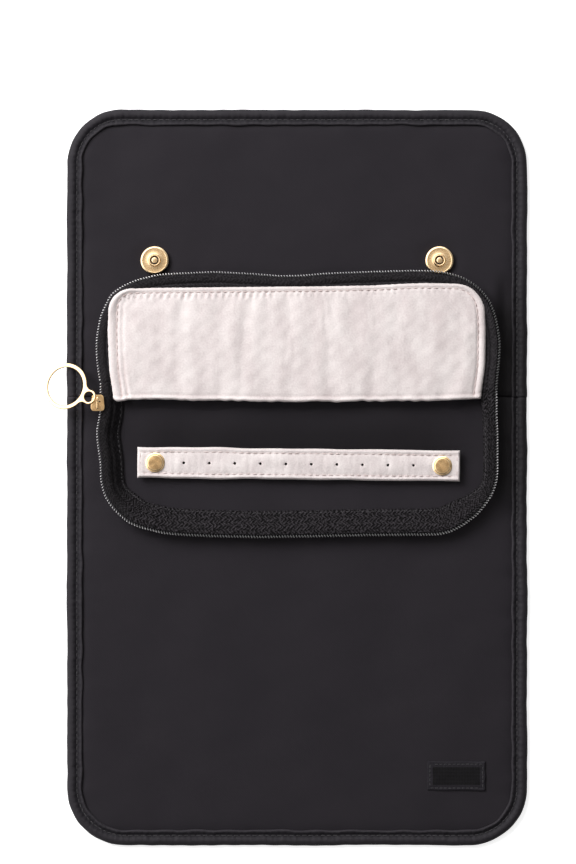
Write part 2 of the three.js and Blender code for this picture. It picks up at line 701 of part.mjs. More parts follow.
function stripSnap(side, hand) {
  const x = hand * SNAP_SPACING / 2;
  const rim = CAP_DIAMETER / 2;
  const shank = CAP_SHANK / 2;
  const shankEnd = STRIP_Z - SOCKET_HEIGHT * CAP_SHANK_DEPTH;
  const domeHeight = (share) => STRIP_TOP_Z + CAP_HEIGHT * Math.sqrt(1 - share * share * CAP_FULLNESS);
  const cap = turned([
    [0, shankEnd], [shank, shankEnd], [shank, STRIP_TOP_Z],
    [rim - FINE_EDGE, STRIP_TOP_Z], [rim, STRIP_TOP_Z + FINE_EDGE],
    ...CAP_DOME.map((share) => [rim * share, domeHeight(share)]), [0, STRIP_TOP_Z + CAP_HEIGHT],
  ], x, 0, STEPS.cap);
  const outer = SOCKET_DIAMETER / 2;
  const bore = STUD_DIAMETER / 2 + SNAP_PLAY;
  const ledge = STRIP_Z - SOCKET_HEIGHT * SOCKET_LEDGE;
  const through = shank + SNAP_PLAY;
  const socket = turned([
    [bore, SOCKET_Z], [outer - METAL_EDGE, SOCKET_Z], [outer, SOCKET_Z + METAL_EDGE], [outer, STRIP_Z],
    [through, STRIP_Z], [through, ledge], [bore, ledge], [bore, SOCKET_Z],
  ], x, 0, STEPS.hidden);
  return [part(`snap_cap_${side}`, cap, gold), part(`snap_socket_${side}`, socket, gold)];
}

function snapStud(side, hand) {
  const x = hand * SNAP_SPACING / 2;
  const foot = SOCKET_DIAMETER / 2;
  const head = STUD_DIAMETER / 2;
  const neck = head - STUD_FLARE;
  const base = FACE_Z + STUD_BASE_THICK;
  const top = STRIP_Z - SOCKET_HEIGHT * SOCKET_LEDGE - SNAP_PLAY;
  return part(`snap_stud_${side}`, turned([
    [0, FACE_Z], [foot, FACE_Z], [foot, base - FINE_EDGE], [foot - FINE_EDGE, base],
    [neck, base], [neck, base + STUD_NECK], [head, base + STUD_NECK + STUD_FLARE],
    [head, top - FINE_EDGE], [head - FINE_EDGE, top], [0, top],
  ], x, 0, STEPS.hidden), gold);
}

// Slider: two plates with a wedge between them at the mouth. The lower half's coil runs on its right
// of the wedge, and the lid's coil joins on its left.

const CHANNEL_HALF = COIL_HEIGHT / 2 + CHAIN_PLAY;
const PLATE_TOP_Z = COIL_Z + CHANNEL_HALF + SLIDER_PLATE;
const PLATE_LOW_Z = COIL_Z - CHANNEL_HALF - SLIDER_PLATE;
const SLIDER_X = COIL_LEFT - COIL_WIDTH / 2 - CHAIN_PLAY - SLIDER_WEDGE / 2;
const SLIDER_Y = HINGE_Y + SLIDER_PAST_HINGE;
const CHANNEL_EDGE = SLIDER_WEDGE / 2 + COIL_WIDTH + 2 * CHAIN_PLAY;
const SLIDER_HALF_WIDTH = CHANNEL_EDGE + SLIDER_FLANGE;
const CROWN_Z = PLATE_TOP_Z + CROWN_CLEAR;

function sliderBody() {
  const w = SLIDER_HALF_WIDTH;
  const l = SLIDER_LENGTH / 2;
  const front = w * SLIDER_FRONT_WIDTH;
  const shoulder = -l * SLIDER_SHOULDER;
  const tail = w * SLIDER_TAIL_WIDTH;
  const tailRound = w * SLIDER_TAIL_ROUND;
  const tailFlat = w * SLIDER_TAIL_FLAT;
  const tailStart = l * SLIDER_TAIL_START;
  const outline = new THREE.Shape();
  outline.moveTo(-front, -l);
  outline.lineTo(front, -l);
  outline.quadraticCurveTo(w, -l, w, shoulder);
  outline.lineTo(tail, tailStart);
  outline.quadraticCurveTo(tailRound, l, tailFlat, l);
  outline.lineTo(-tailFlat, l);
  outline.quadraticCurveTo(-tailRound, l, -tail, tailStart);
  outline.lineTo(-w, shoulder);
  outline.quadraticCurveTo(-w, -l, -front, -l);
  const body = slab(outline, PLATE_LOW_Z, PLATE_TOP_Z, STEPS.hole);
  const wedgeEnd = -l * SLIDER_WEDGE_END;
  const slot = TAPE_THICK / 2 + CHAIN_PLAY;
  const low = COIL_Z - CHANNEL_HALF;
  const high = COIL_Z + CHANNEL_HALF;
  const reach = l + CUT_PAST;
  return part('slider_body', cut(body,
    block(SLIDER_WEDGE / 2, CHANNEL_EDGE, -reach, reach, low, high),
    block(-CHANNEL_EDGE, -SLIDER_WEDGE / 2, -reach, reach, low, high),
    block(-SLIDER_WEDGE, SLIDER_WEDGE, wedgeEnd, reach, low, high),
    block(SLIDER_WEDGE / 2, w + CUT_PAST, -reach, reach, COIL_Z - slot, COIL_Z + slot),
    block(-w - CUT_PAST, -SLIDER_WEDGE / 2, -reach, reach, COIL_Z - slot, COIL_Z + slot)), gold);
}

// The crown is a bridge over the top plate: the link hangs on its bar.
function sliderCrown() {
  const half = CROWN_LENGTH / 2;
  const bar = CROWN_BAR / 2;
  const rise = CROWN_Z - PLATE_TOP_Z;
  const top = rise + bar;
  const bridge = new THREE.Shape();
  bridge.moveTo(-half, 0);
  bridge.lineTo(-half + CROWN_BAR, 0);
  bridge.lineTo(-half + CROWN_BAR, rise - bar);
  bridge.lineTo(half - CROWN_BAR, rise - bar);
  bridge.lineTo(half - CROWN_BAR, 0);
  bridge.lineTo(half, 0);
  bridge.lineTo(half, top - CROWN_ROUND);
  bridge.quadraticCurveTo(half, top, half - CROWN_ROUND, top);
  bridge.lineTo(-half + CROWN_ROUND, top);
  bridge.quadraticCurveTo(-half, top, -half, top - CROWN_ROUND);
  const geometry = new THREE.ExtrudeGeometry(bridge, {
    depth: CROWN_BAR, bevelEnabled: false, curveSegments: STEPS.hole,
  });
  geometry.translate(0, 0, -bar);
  geometry.rotateX(Math.PI / 2).rotateZ(Math.PI / 2);
  return part('slider_crown', geometry, gold);
}

function stadium(shapeClass, halfWidth, near, far, clockwise) {
  const loop = new shapeClass();
  loop.moveTo(near, halfWidth);
  loop.absarc(near, 0, halfWidth, Math.PI / 2, 3 * Math.PI / 2, false);
  loop.lineTo(far, -halfWidth);
  loop.absarc(far, 0, halfWidth, -Math.PI / 2, Math.PI / 2, false);
  loop.closePath();
  return loop;
}

// The link stands upright. Its near end is round the crown's bar, its far end in the pull's eye.
function pullLink() {
  const inner = LINK_INNER_WIDTH / 2;
  const near = inner - LINK_BEHIND;
  const far = near + LINK_INNER_LENGTH - LINK_INNER_WIDTH;
  const shape = stadium(THREE.Shape, inner + LINK_WIRE, near, far);
  shape.holes.push(stadium(THREE.Path, inner, near, far));
  const geometry = new THREE.ExtrudeGeometry(shape, {
    depth: LINK_WIRE, bevelEnabled: false, curveSegments: STEPS.route,
  });
  geometry.translate(0, 0, -LINK_WIRE / 2);
  geometry.rotateX(Math.PI / 2).rotateZ(Math.PI);
  return part('pull_link', geometry, gold);
}

// The ring and its eye are two discs joined by a neck with a round fillet on each side.
function ringPull() {
  const ring = PULL_OUTER_DIAMETER / 2;
  const eye = EYE_OUTER_DIAMETER / 2;
  const toRing = ring + PULL_FILLET;
  const toEye = eye + PULL_FILLET;
  const fx = (toRing ** 2 - toEye ** 2 + EYE_TO_RING ** 2) / (2 * EYE_TO_RING);
  const fy = Math.sqrt(toRing ** 2 - fx ** 2);
  const ringAngle = Math.atan2(fy, fx);
  const eyeAngle = Math.atan2(fy, fx - EYE_TO_RING);
  const shape = new THREE.Shape();
  shape.absarc(0, 0, ring, ringAngle, 2 * Math.PI - ringAngle, false);
  shape.absarc(fx, -fy, PULL_FILLET, Math.PI - ringAngle, Math.PI - eyeAngle, true);
  shape.absarc(EYE_TO_RING, 0, eye, -eyeAngle, eyeAngle, false);
  shape.absarc(fx, fy, PULL_FILLET, Math.PI + eyeAngle, Math.PI + ringAngle, true);
  for (const [x, diameter] of [[0, PULL_INNER_DIAMETER], [EYE_TO_RING, EYE_HOLE_DIAMETER]]) {
    const hole = new THREE.Path();
    hole.absarc(x, 0, diameter / 2, 0, 2 * Math.PI, true);
    shape.holes.push(hole);
  }
  const geometry = new THREE.ExtrudeGeometry(shape, {
    depth: PULL_THICK - 2 * PULL_EDGE,
    bevelEnabled: true,
    bevelThickness: PULL_EDGE,
    bevelSize: PULL_EDGE,
    bevelOffset: -PULL_EDGE,
    bevelSegments: 1,
    curveSegments: STEPS.pull,
  });
  geometry.translate(-EYE_TO_RING, 0, -PULL_THICK / 2 + PULL_EDGE);
  return part('ring_pull', geometry, gold);
}

// The eye's near rim hangs in the middle of the link. From there the ring slopes down until it leans
// on the panel's bound edge, or lies on a binding or table that it doesn't reach past.
const RIM_WIDTH = (EYE_OUTER_DIAMETER - EYE_HOLE_DIAMETER) / 2;
const RIM_TO_EYE = (EYE_HOLE_DIAMETER + RIM_WIDTH) / 2;
const LINK_FAR_WIRE = LINK_INNER_LENGTH - LINK_BEHIND;
const RIM_AT = LINK_FAR_WIRE - SNAP_PLAY - RIM_WIDTH / 2;
const PULL_REACH = RIM_TO_EYE + EYE_TO_RING + PULL_OUTER_DIAMETER / 2;
const yaw = THREE.MathUtils.degToRad(PULL_YAW);
const edgeReach = (SLIDER_X + PANEL_WIDTH / 2 + PULL_OUTER_DIAMETER / 2 * Math.sin(yaw)) / Math.cos(yaw);
const leanDrop = CROWN_Z - BINDING_HEIGHT - PULL_THICK / 2 - PULL_CLEAR;
const slope = THREE.MathUtils.clamp(Math.atan2(leanDrop, edgeReach - RIM_AT),
  Math.asin(leanDrop / PULL_REACH), Math.asin((leanDrop + BINDING_HEIGHT) / PULL_REACH));
const EYE_REACH = RIM_AT + RIM_TO_EYE * Math.cos(slope);
const EYE_DROP = RIM_TO_EYE * Math.sin(slope);

function zipPull() {
  const bodyGroup = new THREE.Group();
  bodyGroup.position.set(SLIDER_X, SLIDER_Y, 0);
  bodyGroup.add(sliderBody());

  const crownGroup = new THREE.Group();
  crownGroup.position.set(SLIDER_X, SLIDER_Y, PLATE_TOP_Z);
  crownGroup.add(sliderCrown());

  const linkGroup = new THREE.Group();
  linkGroup.position.set(SLIDER_X, SLIDER_Y + LINK_ALONG_CROWN, CROWN_Z);
  linkGroup.rotation.z = -yaw;
  linkGroup.add(pullLink());

  const ringGroup = new THREE.Group();
  ringGroup.position.set(-EYE_REACH, 0, -EYE_DROP);
  ringGroup.rotation.y = -slope;
  ringGroup.add(ringPull());
  linkGroup.add(ringGroup);
  return [bodyGroup, crownGroup, linkGroup];
}

// Assembly

const organizer = new THREE.Group();
const gap = SEAM_GAP / 2;
organizer.add(
  ...panelPieces('upper', insideBinding(UPPER_FOLD_TOP + gap,
    PANEL_TOP - BINDING_WIDTH - SEAM_GAP, TOP_CORNER, true), []),
  ...panelPieces('centre', roundedRectangle(-PANEL_INNER, PANEL_INNER,
    LOWER_FOLD_TOP + gap, UPPER_FOLD_BOTTOM - gap, [0, 0, 0, 0]), washerPockets),
  ...panelPieces('lower', insideBinding(PANEL_BOTTOM + BINDING_WIDTH + SEAM_GAP,
    LOWER_FOLD_BOTTOM - gap, BOTTOM_CORNER, false), []),
  foldStrip('fold_strip_upper', UPPER_FOLD_BOTTOM + gap, UPPER_FOLD_TOP - gap),
  foldStrip('fold_strip_lower', LOWER_FOLD_BOTTOM + gap, LOWER_FOLD_TOP - gap),
  part('binding_upper', sweep(route.upperEdge, [gap, ...route.upperEdge.stops(STEPS.route).slice(1, -1),
    route.upperEdge.length - gap], bindingSection), bindingCloth),
  part('binding_lower', sweep(route.lowerEdge, [gap, ...route.lowerEdge.stops(STEPS.route).slice(1, -1),
    route.lowerEdge.length - gap], bindingSection), bindingCloth),
  sideBinding('binding_left', -1),
  sideBinding('binding_right', 1),
  labelPatch(),
  ...magneticSnap('left', -1),
  ...magneticSnap('right', 1),
  baseTape(),
  coil('zip_coil_base', route.base, CHAIN_END),
  lidTape(),
  coil('zip_coil_lid', route.lid, 0),
  pouchSpine(),
  zipBend('zip_bend_left', -1, SLIDER_Y + SLIDER_LENGTH / 2 + SEAM_GAP,
    HINGE_Y + SLIDER_SIDE_BEND - SEAM_GAP),
  zipBend('zip_bend_right', 1, HINGE_Y - BEND_HALF + SEAM_GAP, HINGE_Y + BEND_HALF - SEAM_GAP),
  ...lidLayers(),
  lidPocket(),
  ...zipPull(),
);

const strip = new THREE.Group();
strip.position.set(STRIP_SHIFT, HINGE_Y - STRIP_FROM_HINGE, 0);
strip.rotation.z = THREE.MathUtils.degToRad(STRIP_TURN);
strip.add(
  stripLayer('strip_backing', STRIP_Z, STRIP_FACE_Z),
  stripLayer('strip_face', STRIP_FACE_Z, STRIP_TOP_Z),
  ...stripSnap('left', -1),
  ...stripSnap('right', 1),
  snapStud('left', -1),
  snapStud('right', 1),
);
organizer.add(strip);

export default organizer;
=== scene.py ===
import math

import bmesh
import bpy
import numpy as np
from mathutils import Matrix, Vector


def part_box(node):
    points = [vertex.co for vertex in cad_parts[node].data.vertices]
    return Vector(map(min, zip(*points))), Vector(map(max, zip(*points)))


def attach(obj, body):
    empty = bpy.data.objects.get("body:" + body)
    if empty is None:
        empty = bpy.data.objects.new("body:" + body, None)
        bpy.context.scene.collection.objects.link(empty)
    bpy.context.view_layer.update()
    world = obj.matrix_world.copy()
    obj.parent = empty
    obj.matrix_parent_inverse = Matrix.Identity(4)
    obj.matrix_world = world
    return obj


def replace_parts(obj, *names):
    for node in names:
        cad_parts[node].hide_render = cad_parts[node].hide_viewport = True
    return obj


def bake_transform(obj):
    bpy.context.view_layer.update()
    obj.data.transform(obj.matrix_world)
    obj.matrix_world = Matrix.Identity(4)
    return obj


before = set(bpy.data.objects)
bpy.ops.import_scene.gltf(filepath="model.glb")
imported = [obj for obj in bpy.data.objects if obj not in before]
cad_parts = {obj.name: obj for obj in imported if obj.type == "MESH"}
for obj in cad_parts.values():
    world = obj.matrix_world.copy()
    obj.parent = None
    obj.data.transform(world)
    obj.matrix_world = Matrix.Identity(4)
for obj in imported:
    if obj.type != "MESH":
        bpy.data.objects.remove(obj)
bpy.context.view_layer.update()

MM = 0.001


def span(node, axis):
    low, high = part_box(node)
    return low[axis] / MM, high[axis] / MM


def middle(node):
    low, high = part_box(node)
    return [(low[i] + high[i]) / 2 / MM for i in range(3)]


# Places taken from the frame
PANEL_HALF = span("binding_right", 0)[1]
PANEL_LOW = span("binding_lower", 1)[0]
PANEL_HIGH = span("binding_upper", 1)[1]
BINDING_WIDTH = PANEL_HALF - span("binding_right", 0)[0]
FACE_Z = span("lining_centre", 2)[1]
COIL_Z = sum(span("zip_coil_base", 2)) / 2

# Fabric pieces that cross a fold bend between the two bodies that it joins, from a first Y to a second
LOWER_FOLD = span("fold_strip_lower", 1)
UPPER_FOLD = span("fold_strip_upper", 1)
FOLDS = {
    "lower": ("panel", "lower_flap", LOWER_FOLD[1], LOWER_FOLD[0]),
    "upper": ("panel", "upper_flap", UPPER_FOLD[0], UPPER_FOLD[1]),
}

# Corners of the panel and the seam across it, which the lid's hinge mostly hides. The padded cloth ends
# inside the binding, where its two faces meet.
BOTTOM_CORNER = 29
TOP_CORNER = 27
CROSS_SEAM_Y = 40.2
CLOTH_INSET = 1.3
CLOTH_EDGE_Z = 1.5
CLOTH_COLUMNS = 141
CLOTH_ROWS = {"lower": 156, "upper": 104}

# Binding tape: its section as (inward, height), and its stitches
BINDING_SECTION = [(0.5, 0.75), (1.3, 0.12), (4, 0.1), (7.2, 0.15), (7.7, 0.9), (7.9, 2.5), (7.98, 3.3), (7.7, 3.8),
                   (7.2, 3.92), (6.6, 3.66), (6.0, 3.16), (5.2, 2.72), (4.5, 3.1), (3.8, 3.58), (2.9, 3.84),
                   (1.9, 3.7), (1.05, 3.3), (0.4, 2.6), (0.08, 1.7)]
BINDING_STITCH_LINE = 5.2
BINDING_STITCH = 3.1
BINDING_STITCH_Z = 2.9
BINDING_STEP = 1.1

# The zip's coil, seen from above: lower half from the hinge round to the hinge, then the lid's half
COIL_LOWER = [(-97.3, 41.3), (-97.3, 33), (-98.3, 28.2), (-99.3, 22.7), (-98.7, 16.8), (-97.8, 11), (-97.35, 7.5),
              (-97.3, 4), (-97.2, -1.1), (-95.9, -7.1), (-93.8, -11.6), (-90.4, -16), (-84, -21.9), (-78, -24.4),
              (-72, -25.9), (-66.1, -27.4), (-54.2, -28.4), (-42.3, -28.9), (-18.4, -29.4), (11.4, -28.9),
              (35.2, -28.4), (63, -28.2), (71, -27.9), (77, -26.4), (83, -23), (90, -17.6), (94.9, -11), (96.9, -8),
              (97.9, -5), (98.8, -2), (99.3, 1), (99.3, 21.8), (98.9, 31.2)]
COIL_LID = [(-97.3, 47), (-98.2, 52), (-99.2, 59), (-99.4, 68.4), (-97.4, 80), (-92.3, 90.9), (-86.4, 95), (-80, 97.8),
            (-68.4, 100.7), (-41.3, 102), (-22, 101), (-8.2, 99.9), (2, 100.1), (14.4, 101.2), (36, 102), (57.5, 102.6),
            (70.5, 102.4), (82.2, 99.5), (90, 94.6), (95.6, 88), (98.6, 80), (99.8, 73), (100.7, 67), (100.3, 58),
            (99.5, 51.6), (98.8, 42)]
COIL_ENDS = 0.2

# The coil's turns. Real turns of this size of zip lie 1.03 mm apart; they are drawn a third coarser to show.
TOOTH_PITCH = 1.4
COIL_HALF_WIDTH = 0.54
COIL_HALF_HEIGHT = 0.5
COIL_WIRE = 0.54

# Zip tape: level beside its coil for a width, then falling to the height where its other edge is sewn down
TAPE_TOP = 9.72
TAPE_THICK = 0.5
TAPE_GAP = 0.95
TAPE_STEP = 1.2
LOWER_FLAT, LOWER_FOOT = 3.9, 3.75
LID_FLAT, LID_FOOT = 1.9, 7.5
LID_TAPE = 7.6
LOWER_COIL_START = 5.2

# The short runs of zip that turn as the lid opens, and where each begins and ends its turn
ZIP_BENDS = {
    "left": ([(-97.3, 47.4), (-97.3, 41)], 41.5, 46.7),
    "right": ([(98.9, 30.8), (98.9, 36.5), (98.8, 42.4)], 31.7, 41.1),
}

# The cloth that the lid turns on, as (y, height), and where it begins and ends its turn
HINGE_SLOPE = np.array([(28, 2.35), (31, 2.5), (33.5, 2.8), (35.3, 3.2), (36.6, 3.65), (37.6, 4.05), (38.5, 4.35),
                        (39.5, 4.6)])
HINGE_FOOT_Z = 2.3
HINGE_TURN = (34.2, 38.7)

# The slip pocket's sewn edges and mouth, and the roundness of its two sewn corners
POCKET_LEFT = [(40, -91.4), (46.6, -92.4), (52.5, -93.3), (61.5, -93.8), (73.4, -94.2), (82, -93.8), (97, -93.4)]
POCKET_RIGHT = [(40, 91.5), (46.6, 92.4), (55.5, 93.6), (73.4, 93.9), (82, 93.4), (97, 92.6)]
POCKET_TOP = [(-94, 94.4), (-80, 94.1), (-73, 94.4), (-23, 94.9), (14, 95.2), (39, 95.7), (51, 96.4), (63, 96.8),
              (76, 96.6), (94, 96)]
POCKET_MOUTH = [(-92, 39.8), (-91, 38.5), (-89.3, 37.9), (-86, 38.2), (-83.5, 38.9), (-70, 38.9), (-50, 38.6),
                (-30, 38.2), (0, 37.9), (40, 38), (70, 38.4), (86, 39), (92.6, 39.5)]
POCKET_BOTTOM, POCKET_RISE = 39, 56.5
POCKET_DEPTH = 56
POCKET_CORNERS = (11.5, 13.5)
POCKET_HEM = (4.4, 3.8)
POCKET_TOP_HEM = 2.4
POCKET_THICK = 0.9
POCKET_STITCH = 3.4
POCKET_Z = 9.05
POCKET_SLACK = {"quality": 8, "mass": 0.15, "tension_stiffness": 12, "compression_stiffness": 12,
                "shear_stiffness": 6, "bending_stiffness": 0.6, "shrink_min": -0.012, "shrink_max": -0.012,
                "use_pressure": True, "uniform_pressure_force": 1.2, "vertex_group_mass": "sewn"}
SLACK_FRAMES = 24
# The lid under the pocket and the case's height leave room for this share of the slack
SLACK_KEPT = (0.3, 0.3, 0.4)
SLACK_MOST = 2.4
SLACK_LOWEST = -0.35

# Earring strip, measured between its ends along its own slope
STRIP_LENGTH = 160.6
STRIP_WIDTH = 15.4
STRIP_TURN = math.radians(-0.65)
STRIP_TOP, STRIP_LOW = 7.25, 5.75
STRIP_SEAMS = (1.5, 2.4)
STRIP_STITCH = 3.45
EARRING_PITCH = 12.7
EARRING_HOLES = (np.arange(10) - 4.5) * EARRING_PITCH
HOLE_RADIUS_LOW, HOLE_RADIUS_HIGH = 0.62, 0.7
PUNCH_Z, PUNCH_DEPTH = 6.6, 4

# Woven label
LABEL_TOP, LABEL_LOW = 3.75, 2.9
LABEL_SEAM = 1.3

LATHE_STEPS = 96


# Numbers and lines in plan


def smooth(t):
    t = np.clip(t, 0, 1)
    return t * t * (3 - 2 * t)


def hump(away, width):
    """A soft bump: 1 at its middle, and nearly 0 two widths away."""
    return np.exp(-(away / width) ** 2)


def waves(x, y, length, seed):
    """Soft even unevenness between about -1 and 1, with humps about `length` apart."""
    rng = np.random.default_rng(seed)
    total = np.zeros(np.broadcast(x, y).shape)
    count = 7
    for _ in range(count):
        heading = rng.uniform(0, 2 * math.pi)
        reach = 2 * math.pi / (length * rng.uniform(0.7, 1.5))
        total += np.sin((x * math.cos(heading) + y * math.sin(heading)) * reach + rng.uniform(0, 2 * math.pi))
    return total / math.sqrt(count) / 1.4


def sway(s, length, seed):
    """The same unevenness along a line."""
    return waves(s, s * 0, length, seed)


def beats(s, pitch):
    return np.cos(s * 2 * math.pi / pitch)


def crowded(count, share):
    """Places from -1 to 1 that crowd together towards both ends."""
    return np.sin(np.linspace(-1, 1, count) * math.pi / 2 * share) / math.sin(math.pi / 2 * share)


def eased(count, share):
    """Places from 0 to 1, of which a share of the spacing crowds together towards both ends."""
    even = np.linspace(0, 1, count)
    return (1 - share) * even + share * (0.5 - 0.5 * np.cos(even * math.pi))


def curve_of(table):
    where, value = zip(*table)
    return lambda x: np.interp(x, where, value)


def distances(points):
    """How far along a line each of its points is."""
    return np.concatenate([[0], np.cumsum(np.linalg.norm(np.diff(points, axis=0), axis=1))])


def places_on(points, along, s):
    """The places at distances s on a line."""
    return np.stack([np.interp(s, along, column) for column in points.T], axis=-1)


class Route:
    """A line on the table, measured along itself. Its inward side is on the left of its run."""

    STEP = 0.5
    REACH = 0.6

    def __init__(self, points, soften=0.0):
        points = np.array(points, float)
        along = distances(points)
        count = max(int(round(along[-1] / self.STEP)), 2) + 1
        points = places_on(points, along, np.linspace(0, along[-1], count))
        if soften:
            reach = int(soften * 3 / self.STEP)
            weight = np.exp(-0.5 * (np.arange(-reach, reach + 1) * self.STEP / soften) ** 2)
            weight /= weight.sum()
            before = 2 * points[0] - points[reach:0:-1]
            after = 2 * points[-1] - points[-2:-reach - 2:-1]
            longer = np.concatenate([before, points, after])
            points = np.stack([np.convolve(column, weight, "valid") for column in longer.T], axis=1)
        self.points = points
        self.along = distances(points)
        self.length = self.along[-1]

    def at(self, s):
        """The places at distances s, and the inward direction there."""
        run = places_on(self.points, self.along, s + self.REACH) - places_on(self.points, self.along, s - self.REACH)
        run /= np.maximum(np.linalg.norm(run, axis=-1, keepdims=True), 1e-9)
        return places_on(self.points, self.along, s), np.stack([-run[..., 1], run[..., 0]], axis=-1)

    def nearest(self, x, y):
        """How far points are from the line, and how far along it their nearest places are."""
        away = np.hypot(np.ravel(x)[:, None] - self.points[:, 0], np.ravel(y)[:, None] - self.points[:, 1])
        return away.min(axis=1).reshape(np.shape(x)), self.along[away.argmin(axis=1)].reshape(np.shape(x))


def quarter_round(cx, cy, radius, start):
    angles = np.radians(np.linspace(start, start + 90, 24))
    return [(cx + radius * math.cos(a), cy + radius * math.sin(a)) for a in angles]


def panel_edge(half):
    """The panel's outer edge from the cross seam on one side round to the other, its inside on the left."""
    w = PANEL_HALF
    if half == "lower":
        r, y, side, turns = BOTTOM_CORNER, PANEL_LOW + BOTTOM_CORNER, -1, (180, 270)
    else:
        r, y, side, turns = TOP_CORNER, PANEL_HIGH - TOP_CORNER, 1, (0, 90)
    return [(side * w, CROSS_SEAM_Y), *quarter_round(side * (w - r), y, r, turns[0]),
            *quarter_round(-side * (w - r), y, r, turns[1]), (-side * w, CROSS_SEAM_Y)]


# Meshes


def new_object(name, data):
    piece = bpy.data.objects.new(name, data)
    bpy.context.scene.collection.objects.link(piece)
    return piece


def edit(mesh, change):
    """Runs a change on the mesh in its editable form."""
    shape = bmesh.new()
    shape.from_mesh(mesh)
    change(shape)
    shape.to_mesh(mesh)
    shape.free()


def apply_modifier(piece, modifier):
    with bpy.context.temp_override(object=piece, active_object=piece, selected_objects=[piece]):
        bpy.ops.object.modifier_apply(modifier=modifier.name)


def face_outwards(shape):
    bmesh.ops.recalc_face_normals(shape, faces=shape.faces)


def new_piece(name, points, faces, material, weave=None):
    """A mesh piece from points in millimetres. weave gives each point's place on its flat cloth."""
    mesh = bpy.data.meshes.new(name)
    mesh.from_pydata((np.asarray(points, float) * MM).reshape(-1, 3).tolist(), [], faces)
    if weave is not None:
        layer = mesh.uv_layers.new(name="weave")
        corner = np.zeros(len(mesh.loops), int)
        mesh.loops.foreach_get("vertex_index", corner)
        layer.data.foreach_set("uv", (np.asarray(weave, float)[corner] * MM).ravel())
    edit(mesh, face_outwards)
    mesh.polygons.foreach_set("use_smooth", [True] * len(mesh.polygons))
    mesh.materials.append(material)
    return new_object(name, mesh)


def quads(rows, columns, start=0, wrap=False):
    r, c = np.meshgrid(np.arange(rows - 1), np.arange(columns if wrap else columns - 1), indexing="ij")
    a = start + r * columns + c
    b = start + r * columns + (c + 1) % columns
    return np.stack([a, b, b + columns, a + columns], axis=-1).reshape(-1, 4).tolist()


def tube_faces(rows, columns, start=0):
    """A tube's wall and its two ends."""
    last = start + (rows - 1) * columns
    return quads(rows, columns, start, wrap=True) + [list(range(start, start + columns)),
                                                     list(range(last, last + columns))]


def swept_strip(name, route, stations, section, material, first=0.0):
    """A closed strip along a route. section(s) gives its outline as (inward, height) for each station. first is
    where its weave begins."""
    place, inward = route.at(stations)
    outline = section(stations)
    count, around = outline.shape[:2]
    points = np.concatenate([place[:, None, :] + inward[:, None, :] * outline[:, :, :1], outline[:, :, 1:]], axis=2)
    weave = np.stack(np.meshgrid(stations + first, distances(outline[count // 2]), indexing="ij"), axis=-1)
    return new_piece(name, points, tube_faces(count, around), material, weave.reshape(-1, 2))


def padded_sheet(name, top, bottom, material):
    """A closed pad from two grids of points with the same edge."""
    rows, columns = top.shape[:2]
    points = np.concatenate([top.reshape(-1, 3), bottom.reshape(-1, 3)])
    under = rows * columns
    grid = np.arange(under).reshape(rows, columns)
    ring = [*grid[0], *grid[1:, -1], *grid[-1, -2::-1], *grid[-2:0:-1, 0]]
    ring = [int(i) for i in ring]
    faces = quads(rows, columns) + quads(rows, columns, under)
    faces += [[a, b, under + b, under + a] for a, b in zip(ring, ring[1:] + ring[:1])]
    return new_piece(name, points, faces, material, points[:, :2])


def turned_part(name, profile, centre, material):
    """A lathe-turned part from a closed (radius, height) profile."""
    angles = np.linspace(0, 2 * math.pi, LATHE_STEPS, endpoint=False)[:, None]
    radius, height = np.array(profile, float).T
    n = len(profile)
    points = np.stack([centre[0] + np.cos(angles) * radius, centre[1] + np.sin(angles) * radius,
                       np.broadcast_to(centre[2] + height, (LATHE_STEPS, n))], axis=-1)
    faces = [[i * n + k, (i + 1) % LATHE_STEPS * n + k, (i + 1) % LATHE_STEPS * n + (k + 1) % n, i * n + (k + 1) % n]
             for i in range(LATHE_STEPS) for k in range(n)]

    def close_axis(shape):
        bmesh.ops.remove_doubles(shape, verts=shape.verts, dist=1e-6)
        bmesh.ops.dissolve_degenerate(shape, edges=shape.edges, dist=1e-7)
        face_outwards(shape)

    piece = new_piece(name, points, faces, material)
    edit(piece.data, close_axis)
    piece.data.set_sharp_from_angle(angle=math.radians(32))
    return piece


def thread_stitches(name, starts, ends, thick, material, sink=0.3):
    """Short lengths of thread that dive into the cloth at both ends."""
    whole = ends - starts
    run = whole / np.linalg.norm(whole, axis=1, keepdims=True)
    up = np.array([0, 0, 1.0]) - run * run[:, 2:]
    up /= np.linalg.norm(up, axis=1, keepdims=True)
    side = np.cross(run, up)
    turns = np.linspace(0, 2 * math.pi, 7)[:-1]

    def each_ring(values):
        return np.array(values)[None, :, None, None]

    girth = each_ring([0.55, 0.9, 1, 1, 0.9, 0.55]) * thick / 2
    points = (starts[:, None, None] + whole[:, None, None] * each_ring([0, 0.14, 0.38, 0.62, 0.86, 1])
              + up[:, None, None] * (each_ring([-1, -0.15, 0.3, 0.3, -0.15, -1]) * sink
                                     + girth * np.sin(turns)[:, None])
              + side[:, None, None] * girth * np.cos(turns)[:, None])
    faces = [face for i in range(len(starts)) for face in tube_faces(6, 6, i * 36)]
    return new_piece(name, points, faces, material)


def stitches_along(name, route, inward_at, height_at, pitch, share, thick, material):
    """A row of machine stitches beside a route."""
    s = (np.arange(int(route.length / pitch)) + 0.5) * pitch
    ends = []
    for at in (s - share / 2 * pitch, s + share / 2 * pitch):
        place, inward = route.at(at)
        across = inward_at(at)
        ends.append(np.column_stack([place + inward * across[:, None], height_at(at, across)]))
    return thread_stitches(name, *ends, thick, material)


